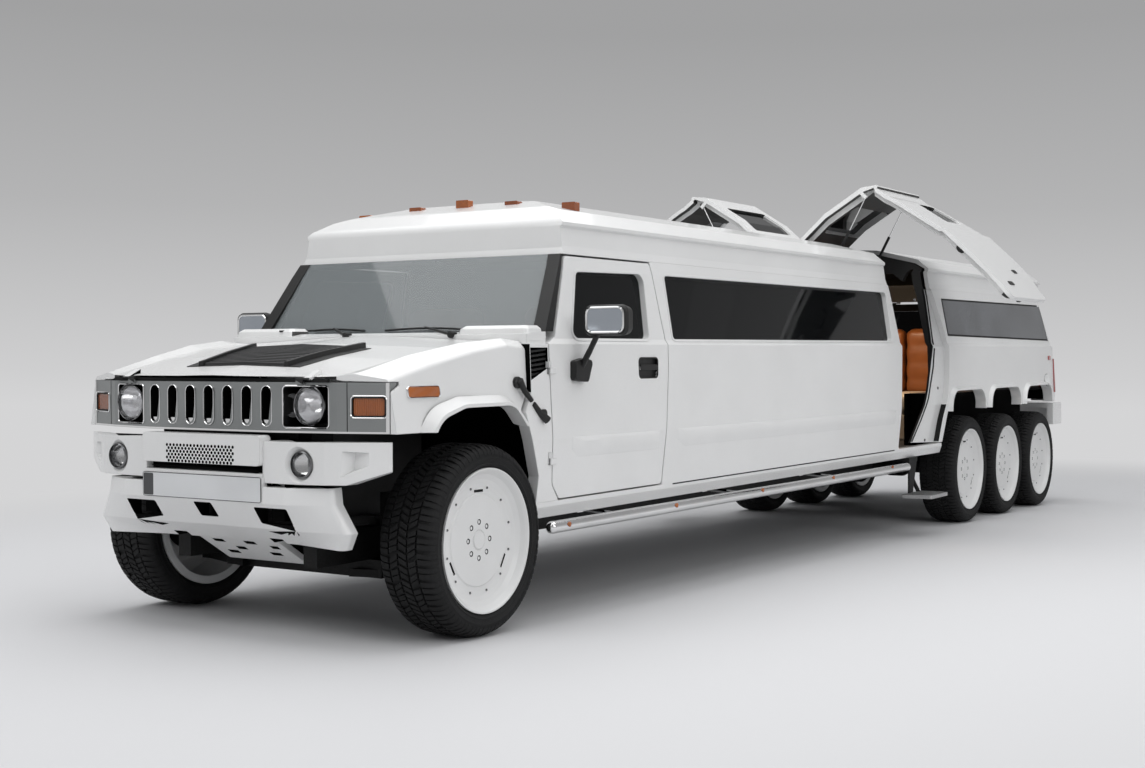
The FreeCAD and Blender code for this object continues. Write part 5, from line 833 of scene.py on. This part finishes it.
def make_mirrors():
    """Grey-blue front shells in a bright rim, and real mirror glass behind."""
    for side, sign in SIDES:
        skin, body = Skin(f"mirror_{side}"), f"front_door_{side}"
        front = facing(skin.front(sign * 1.18, 1.45).y)
        back = facing(skin.hit((sign * 1.18, 4, 1.45), -Y).y, 1)
        shell = [(sign * x, z) for x, z in rounded(1.084, 1.284, 1.398, 1.508, 0.026)]
        pane = [(sign * x, z) for x, z in rounded(1.106, 1.264, 1.412, 1.492, 0.018)]
        piece(f"mirror_shell_{side}", [lid(shell, front, 0.0015)], MIRROR_FACE, body, bevel=0.001)
        piece(f"mirror_rim_{side}", [rim(shell, 0.011, front, 0.007)], CHROME, body, smooth=True)
        piece(f"mirror_glass_{side}", [lid(pane, back, 0.0015)], MIRROR_FACE, body)
        piece(f"mirror_glass_rim_{side}", [rim(pane, 0.006, back, 0.004)], BLACK, body, smooth=True)


def flat_side(x, sign):
    """Finder for a flat face along the car at x."""
    return lambda y, z, lift: Vector((x + sign * lift, y, z))


def make_door_handles():
    """Black cup with a bar across it, set in each front door."""
    for side, sign in SIDES:
        face = flat_side(Skin(f"door_{side}").side(1.400, 1.210, 0, sign).x, sign)
        parts = [rim(rounded(1.434, 1.626, 1.160, 1.260, 0.018), 0.008, face, 0.004),
                 lid(rounded(1.440, 1.620, 1.198, 1.228, 0.012), face, 0.006, 0.014)]
        piece(f"door_handle_{side}", parts, BLACK, f"front_door_{side}", smooth=True, bevel=0.002)


make_wipers()
make_mirrors()
make_door_handles()


# ---------------- gull-wing doors and their openings

def make_gull_fittings(side, sign):
    """Plug, outer slots, striker, handles and latch of a gull-wing door, made as if it were shut."""
    place = gull_place(sign)
    door = Skin(f"gull_door_{side}", place=place)

    def fit(name, parts, look=BLACK, **more):
        piece(f"gull_{name}_{side}", parts, look, f"gull_wing_{side}", place, **more)

    def inner(y, z):
        """The door's inner face, seen from the middle of the cabin."""
        return door.hit((sign * 0.3, y, z), sign * X)
    plug_x, plug_z = sign * 0.948, 1.150
    plug_face = facing(door.hit((plug_x, GULL - 0.5, plug_z), Y).y)
    fit("plug", [lid(oval(plug_x, plug_z, 0.021, 0.034, 24), plug_face, 0.012, 0.01)], bevel=0.003)
    slots = []
    for y, z, wide in ((GULL + 0.235, 0.745, 0.052), (GULL_END - 0.30, 0.885, 0.040)):
        face = flat_side(door.side(y, z, 0, sign).x, sign)
        slots.append(lid(rounded(y - wide, y + wide, z - 0.018, z + 0.018, 0.010), face, 0.006, 0.01))
    fit("outer_slots", slots, bevel=0.002)
    y = GULL + 0.20
    x = door.side(y, 0.640, 0, sign).x
    x0, x1 = sorted((x - sign * 0.050, x - sign * 0.012))
    fit("striker", [box_of(x0, x1, y - 0.03, y + 0.03, 0.597, 0.650)], bevel=0.004)
    handles = []
    for y, z, long in ((GULL_END - 0.36, 1.20, 0.10), (GULL_END - 0.50, 0.88, 0.08)):
        base = inner(y, z)
        path = [base + Vector((-sign * proud, 0, up)) for proud, up in (
            (0.002, -long), (0.045, 0.02 - long), (0.050, 0), (0.045, long - 0.02), (0.002, long))]
        handles.append(bar(path, [0.016, 0.012, 0.011, 0.012, 0.016]))
    fit("handles", handles, smooth=True)
    cup = [(-0.002, 0.030), (0.016, 0.026), (0.020, 0.012), (0.020, 0.0)]
    fit("latch", [turned(cup, inner(GULL + 0.20, 0.72), -sign * X, 20)], DARK_CHROME, smooth=True)


def spread(points, count):
    """More points between the corners of an open path."""
    made = []
    for (u0, v0), (u1, v1) in zip(points, points[1:]):
        made += [(u0 + (u1 - u0) * k / count, v0 + (v1 - v0) * k / count) for k in range(count)]
    return made + [points[-1]]


def make_door_opening(side, sign):
    """Catches and the rubber seal along the rear edge of a gull-wing opening."""
    skin = Skin(f"rear_side_{side}", f"stretch_side_{side}")
    at = lambda y, z, lift=0.0: skin.side(y, z, lift, sign)
    catch = [(-0.004, 0.011), (0.006, 0.011), (0.009, 0.0)]
    spots = (6.175, 1.004), (5.53, 1.684), (5.903, 0.604)
    parts = [turned(catch, at(y, z), sign * X, 12) for y, z in spots]
    piece(f"opening_catches_{side}", parts, DARK_CHROME, smooth=True)
    edge = [(GULL_END - 0.030, GUTTER - 0.004), (GULL_END - 0.050, 1.620), (GULL_END - 0.088, BELT + 0.026),
            (GULL_END - 0.150, 1.170), (GULL_END - 0.282, SILL + 0.434), (GULL_END - 0.440, 0.760),
            (GULL_END - 0.615, SILL + 0.112)]
    section = ((0.010, 0.0015), (0.040, 0.0015), (0.040, -0.002), (0.010, -0.002))
    rings = [[at(y + across, z, lift) for across, lift in section] for y, z in spread(edge, 6)]
    piece(f"opening_seal_{side}", [joined(rings)], SEAL)


for door in SIDES:
    make_gull_fittings(*door)
for door in SIDES:
    make_door_opening(*door)


# ---------------- cabin

CELL = 0.028
PAD_RADIUS = 0.045
CROWN_PULL = 0.14 * 0.25


def cushion_grid(counts):
    """The surface of a block from -1 to 1, cut into cells."""
    mesh, verts = bmesh.new(), {}
    for a, b, c in ((0, 1, 2), (0, 2, 1), (1, 2, 0)):
        for i in range(counts[a]):
            for j in range(counts[b]):
                for level in (0, counts[c]):
                    face = []
                    for di, dj in ((0, 0), (0, 1), (1, 1), (1, 0)):
                        key = [level] * 3
                        key[a], key[b] = i + di, j + dj
                        if tuple(key) not in verts:
                            spot = [key[axis] / counts[axis] * 2 - 1 for axis in range(3)]
                            verts[tuple(key)] = mesh.verts.new(spot)
                        face.append(verts[tuple(key)])
                    mesh.faces.new(face)
    return mesh


def cushion(name, low, high, look, seams=0, body="root"):
    """Padded block with crowned faces and pulled-in sides; seams cross its longest side."""
    low, high = Vector(low), Vector(high)
    size, middle = high - low, (low + high) / 2
    long = max(range(3), key=lambda axis: size[axis])
    mesh = cushion_grid([max(4, int(edge / CELL)) for edge in size])
    for point in mesh.verts:
        unit = point.co.copy()
        place = Vector([unit[a] * size[a] / 2 for a in range(3)])
        # round the edges, then pull in the sides towards the corners
        inset = Vector([max(0.0, abs(place[a]) - (size[a] / 2 - PAD_RADIUS)) for a in range(3)])
        if inset.length > PAD_RADIUS:
            inset *= PAD_RADIUS / inset.length
        place = Vector([math.copysign(min(abs(place[a]), size[a] / 2 - PAD_RADIUS) + inset[a], place[a])
                        for a in range(3)])
        swell = math.prod(1 - 0.5 * abs(unit[a]) ** 4 for a in range(3))
        place *= 1.0 - CROWN_PULL * (1 - swell)
        if seams:
            beat = abs(math.sin(math.pi * (unit[long] + 1) / 2 * seams))
            for a in range(3):
                if a != long:
                    place[a] -= place[a] / max(size[a], 0.01) * 0.030 * (1 - beat ** 0.4)
        point.co = BODY @ (middle + place)
    item = object_of(mesh, name, look)
    soft = item.modifiers.new("soft", "SUBSURF")
    soft.levels = soft.render_levels = 1
    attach(item, body)
    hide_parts("seats")


def make_seats():
    """Two front seats, the long side bench and the rear bench, each cushion on its own."""
    seam_gap = 0.004
    low = FLOOR_TOP + seam_gap
    y = CAB + 0.478
    for number, x in enumerate((-0.42, 0.42)):
        cushion(f"front_seat_{number}", (x - 0.25, y, low), (x + 0.25, y + 0.44, 0.880), LEATHER)
        cushion(f"front_seat_back_{number}", (x - 0.25, y + 0.45, low + 0.32),
                (x + 0.25, y + 0.62, BELT + 0.20), LEATHER, 5)
    front, end = DOOR_END + 0.25, GULL - 0.185
    count = 4
    for k in range(count):
        y0 = front + (end - front) * k / count + seam_gap
        y1 = front + (end - front) * (k + 1) / count - seam_gap
        cushion(f"bench_cushion_{k}", (-HALF + 0.26, y0, BENCH_TOP), (-0.38, y1, PAD_TOP), CREAM, 3)
        cushion(f"bench_back_{k}", (-HALF + 0.18, y0, FLOOR_TOP + 0.36), (-HALF + 0.30, y1, BELT - 0.012),
                LEATHER, 7)
    seats_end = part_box("seats")[1].y
    rear_y = (BODY.inverted() @ Vector((0, seats_end, 1))).y - 0.75
    for k in range(3):
        x0 = -0.64 + 1.28 * k / 3
        x1 = x0 + 0.422
        x0 += seam_gap
        cushion(f"rear_cushion_{k}", (x0, rear_y, BENCH_TOP), (x1, rear_y + 0.60, PAD_TOP), CREAM, 3)
        cushion(f"rear_back_{k}", (x0, rear_y + 0.60, FLOOR_TOP + 0.36), (x1, rear_y + 0.75, BELT + 0.14),
                LEATHER, 4)
    bases = [box_of(-0.63, 0.63, rear_y + 0.02, rear_y + 0.58, low, BENCH_TOP),
             box_of(-HALF + 0.28, -0.40, front + 0.01, end - 0.01, low, BENCH_TOP)]
    item = piece("seat_bases", bases, CREAM, bevel=0.012, slot="tan_leather")
    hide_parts("seats")


make_seats()


# ---------------- rear body

REAR = {side: Skin(f"rear_side_{side}").on_side(sign) for side, sign in SIDES}


def sheet_over(at, corners, lift, across=24, up=5, sunk=0.004):
    """Thin plate over a surface; corners are lower front, lower rear, upper rear, upper front."""
    low_a, low_b, high_b, high_a = [Vector(corner) for corner in corners]
    grid = [[low_a.lerp(low_b, i / across).lerp(high_a.lerp(high_b, i / across), j / up)
             for i in range(across + 1)] for j in range(up + 1)]
    faces_of = lambda level: [[at(*spot, level) for spot in row] for row in grid]
    front, back = faces_of(lift), faces_of(-sunk)
    # a row of rings, each up the front and down the back
    return joined([[row[i] for row in front] + [row[i] for row in back[::-1]] for i in range(across + 1)])


def make_sign_panels():
    """The blank dark panel along each side of the rear body, in a thin black frame."""
    frame_corners = [(6.415, 1.420), (9.262, 1.394), (9.180, 1.732), (6.415, 1.722)]
    panel_corners = [(6.430, 1.434), (9.244, 1.408), (9.168, 1.718), (6.430, 1.708)]
    for side, _ in SIDES:
        at = REAR[side]
        piece(f"sign_frame_{side}", [sheet_over(at, frame_corners, 0.0015)], SEAL, smooth=True)
        piece(f"sign_panel_{side}", [sheet_over(at, panel_corners, 0.0032)], SIGN, smooth=True)


def make_rear_side_fittings():
    """A red marker on each side, and the fuel flap on the left."""
    lamp = rounded(9.165, 9.235, 1.210, 1.250, 0.010)
    flap = oval(9.100, 1.020, 0.075, 0.055, 32)
    for side, at in REAR.items():
        piece(f"rear_side_marker_{side}", [lid(lamp, at, 0.008, 0.004)], RED, bevel=0.002,
              slot="red_lens")
        if side == "left":
            piece("fuel_flap", [lid(flap, at, 0.006, 0.004)], WHITE, bevel=0.002, slot="white_paint")
            piece("fuel_flap_gap", [rim(flap, 0.004, at, 0.0012)], SEAL, smooth=True)


def make_tail():
    """Blank number plate and the step's grip ribs."""
    face = facing(Skin("tailgate").hit((0.1, 12, SILL + 0.55), -Y).y, 1)
    plate = rounded(-0.175, 0.175, SILL + 0.495, SILL + 0.605, 0.010)
    piece("rear_plate", [lid(plate, face, 0.004)], PLATE, "tailgate_lid")
    piece("rear_plate_edge", [rim(grown(plate, -0.006), 0.003, face, 0.005)], BLACK, "tailgate_lid")
    ribs = [box_of(x - 0.008, x + 0.008, TAIL + 0.070, TAIL + 0.200, 0.785, 0.7915)
            for x in [-0.84 + 1.68 * k / 45 for k in range(46)]]
    piece("rear_step_ribs", ribs, BLACK)


make_sign_panels()
make_rear_side_fittings()
make_tail()


# ---------------- along the sides

def make_tube_lamps():
    """Amber marker lamps on the running tubes."""
    skin = Skin("running_tubes")
    profile = [(-0.003, 0.013), (0.005, 0.013), (0.008, 0.009), (0.009, 0.0)]
    for side, sign in SIDES:
        spots = [skin.side(0.603 + 1.074 * k, 0.462, 0, sign) for k in range(5)]
        parts = [turned(profile, spot, sign * X, 20) for spot in spots]
        piece(f"tube_lamps_{side}", parts, AMBER, smooth=True, slot="amber_lens")


MOULDING = [(0.000, -0.003), (-0.003, 0.0006), (-0.026, 0.0125), (-0.066, 0.0075), (-0.115, -0.002)]


def moulding(at, start, end, steps=16):
    """Pressed line along a side: a face that catches the light and fades into the panel below it."""
    rings = []
    for i in range(steps + 1):
        y, top = Vector(start).lerp(Vector(end), i / steps)
        fade = min(1.0, i, steps - i)
        rings.append([at(y, top + drop, lift if lift < 0 else lift * fade) for drop, lift in MOULDING])
    return joined(rings)


def make_mouldings():
    for side, sign in SIDES:
        on_door, on_wall = (Skin(f"{name}_{side}").on_side(sign) for name in ("door", "stretch_side"))
        piece(f"door_moulding_{side}", [moulding(on_door, (0.760, 0.878), (1.640, 0.872))], WHITE,
              f"front_door_{side}", smooth=True, slot="white_paint")
        piece(f"side_moulding_{side}", [moulding(on_wall, (1.840, 0.874), (5.160, 0.865), 40)], WHITE,
              smooth=True, slot="white_paint")
        run = [on_wall(1.80 + 3.36 * k / 30, 0.566) for k in range(31)]
        half, rise = 0.0012, 0.0035 * Z
        seam = [joined([[one - rise + out, two - rise + out, two + rise + out, one + rise + out]
                        for out in (-sign * half * X, sign * half * X)]) for one, two in zip(run, run[1:])]
        piece(f"sill_seam_{side}", seam, SEAL)


make_tube_lamps()
make_mouldings()


# ---------------- studio

FLOOR_REACH, WALL_AT, WALL_BEND, WALL_TOP = 24.0, 60.0, 12.0, 60.0
# where the floor turns into backdrop, across the car; along the car it is further by the last number
HORIZON_NEAR, HORIZON_FAR, HORIZON_STRETCH = 3.6, 7.5, 1.8
# height on the backdrop and its grey there, in linear light
BACKDROP_GREYS = ((0.0, 0.66), (1.2, 0.62), (8.7, 0.455), (17.0, 0.355))
BACKDROP_SPAN = 40.0


def bowl(name, profile, look):
    """Round stage piece turned about the vertical from a profile of (height, radius)."""
    made = object_of(mesh_of([turned(profile, (0, 0, 0), Z, 96)], UNTURNED), name, look)
    made.data.flip_normals()
    return made


def make_stage(look):
    """A wide pale floor that keeps the car's shadow, and a backdrop that rises on all sides."""
    bowl("studio_floor", [(0.0, 0.0), (0.0, 8.0), (0.0, FLOOR_REACH)], look)
    inner = WALL_AT - WALL_BEND
    bends = [math.pi / 2 * i / 12 for i in range(13)]
    profile = [(WALL_BEND - WALL_BEND * math.cos(bend), inner + WALL_BEND * math.sin(bend)) for bend in bends]
    wall = bowl("studio_backdrop", [(0.0, FLOOR_REACH), *profile, (WALL_TOP, WALL_AT)], look)
    wall.visible_diffuse = False
    wall.visible_shadow = False


def maths(tree, kind, operation, inputs, output, clamp=False):
    made = node(tree, kind, inputs)
    made.operation = operation
    if clamp:
        made.use_clamp = True
    return made.outputs[output]


def studio_look():
    """Pale floor near the car, turning into an evenly lit backdrop further away."""
    made, tree, surface = shader("studio_floor")
    wire(tree, surface, {"Base Color": (0.67, 0.67, 0.68, 1), "Roughness": 0.65})
    place = own_place(tree)
    up = node(tree, "SeparateXYZ", {"Vector": place}).outputs["Z"]
    height = maths(tree, "Math", "DIVIDE", {0: up, 1: BACKDROP_SPAN}, "Value", clamp=True)
    greys = [(level / BACKDROP_SPAN, (value, value, value * 1.01)) for level, value in BACKDROP_GREYS]
    rays = node(tree, "LightPath", {}).outputs
    seen = maths(tree, "Math", "MAXIMUM", {0: rays["Is Camera Ray"], 1: rays["Is Glossy Ray"]}, "Value")
    seen = maths(tree, "Math", "MAXIMUM", {0: seen, 1: rays["Is Transmission Ray"]}, "Value")
    glow = node(tree, "Emission", {"Color": ramp(tree, height, greys), "Strength": seen})
    squeezed = maths(tree, "VectorMath", "DIVIDE", {0: place, 1: (1.0, HORIZON_STRETCH, 1.0)}, "Vector")
    far = maths(tree, "VectorMath", "LENGTH", {0: squeezed}, "Value")
    share = node(tree, "MapRange", {"From Min": HORIZON_NEAR, "From Max": HORIZON_FAR, "Value": far})
    share.interpolation_type = "SMOOTHSTEP"
    blend = node(tree, "MixShader", {"Fac": share.outputs["Result"], 1: surface.outputs["BSDF"],
                                     2: glow.outputs["Emission"]})
    wire(tree, tree.nodes["Material Output"], {"Surface": blend.outputs["Shader"]})
    return made


make_stage(studio_look())


def soft_light(name, place, target, width, height, power, colour=(1, 1, 1)):
    data = bpy.data.lights.new(name, "AREA")
    data.shape, data.color = "RECTANGLE", colour
    data.size, data.size_y, data.energy = width, height, power
    light = placed(name, data)
    light.location = place
    light.rotation_euler = (Vector(target) - Vector(place)).to_track_quat("-Z", "Y").to_euler()


soft_light("sky_panel", (0, 0, 9), (0, 0, 0), 14, 16, 980)
soft_light("side_panel", (12, -5, 6), (0, 0, 1), 9, 6, 390)
soft_light("nose_panel", (-2, -13, 9), (0, -4, 1.5), 9, 6, 400)
soft_light("cabin_light", BODY @ Vector((0.2, 6.6, 1.75)), BODY @ Vector((0.1, 6.9, 0.9)), 0.5, 0.5, 9,
           (1.0, 0.72, 0.48))

world = bpy.data.worlds.new("studio")
bpy.context.scene.world = world
world.use_nodes = True
wire(world.node_tree, world.node_tree.nodes["Background"], {"Color": (0.9, 0.92, 0.95, 1), "Strength": 0.40})


# ---------------- camera

CAMERA_TURN, CAMERA_TILT, CAMERA_ROLL = [math.radians(angle) for angle in (32.80, 0.335, 0.333)]
EYE = Vector((5.115, AXLE_Y - 5.647, 1.195))


def make_camera():
    """Near the left front corner at chest height, almost level."""
    turn = (Matrix.Rotation(CAMERA_TURN, 4, "Z") @ Matrix.Rotation(math.pi / 2 - CAMERA_TILT, 4, "X")
            @ Matrix.Rotation(CAMERA_ROLL, 4, "Z"))
    data = bpy.data.cameras.new("photo_view")
    data.sensor_width, data.lens, data.clip_end = 36.0, 48.24, 500
    camera = placed("photo_view", data)
    camera.matrix_world = Matrix.Translation(EYE) @ turn
    bpy.context.scene.camera = camera


make_camera()
bpy.context.scene.view_settings.view_transform = "Standard"
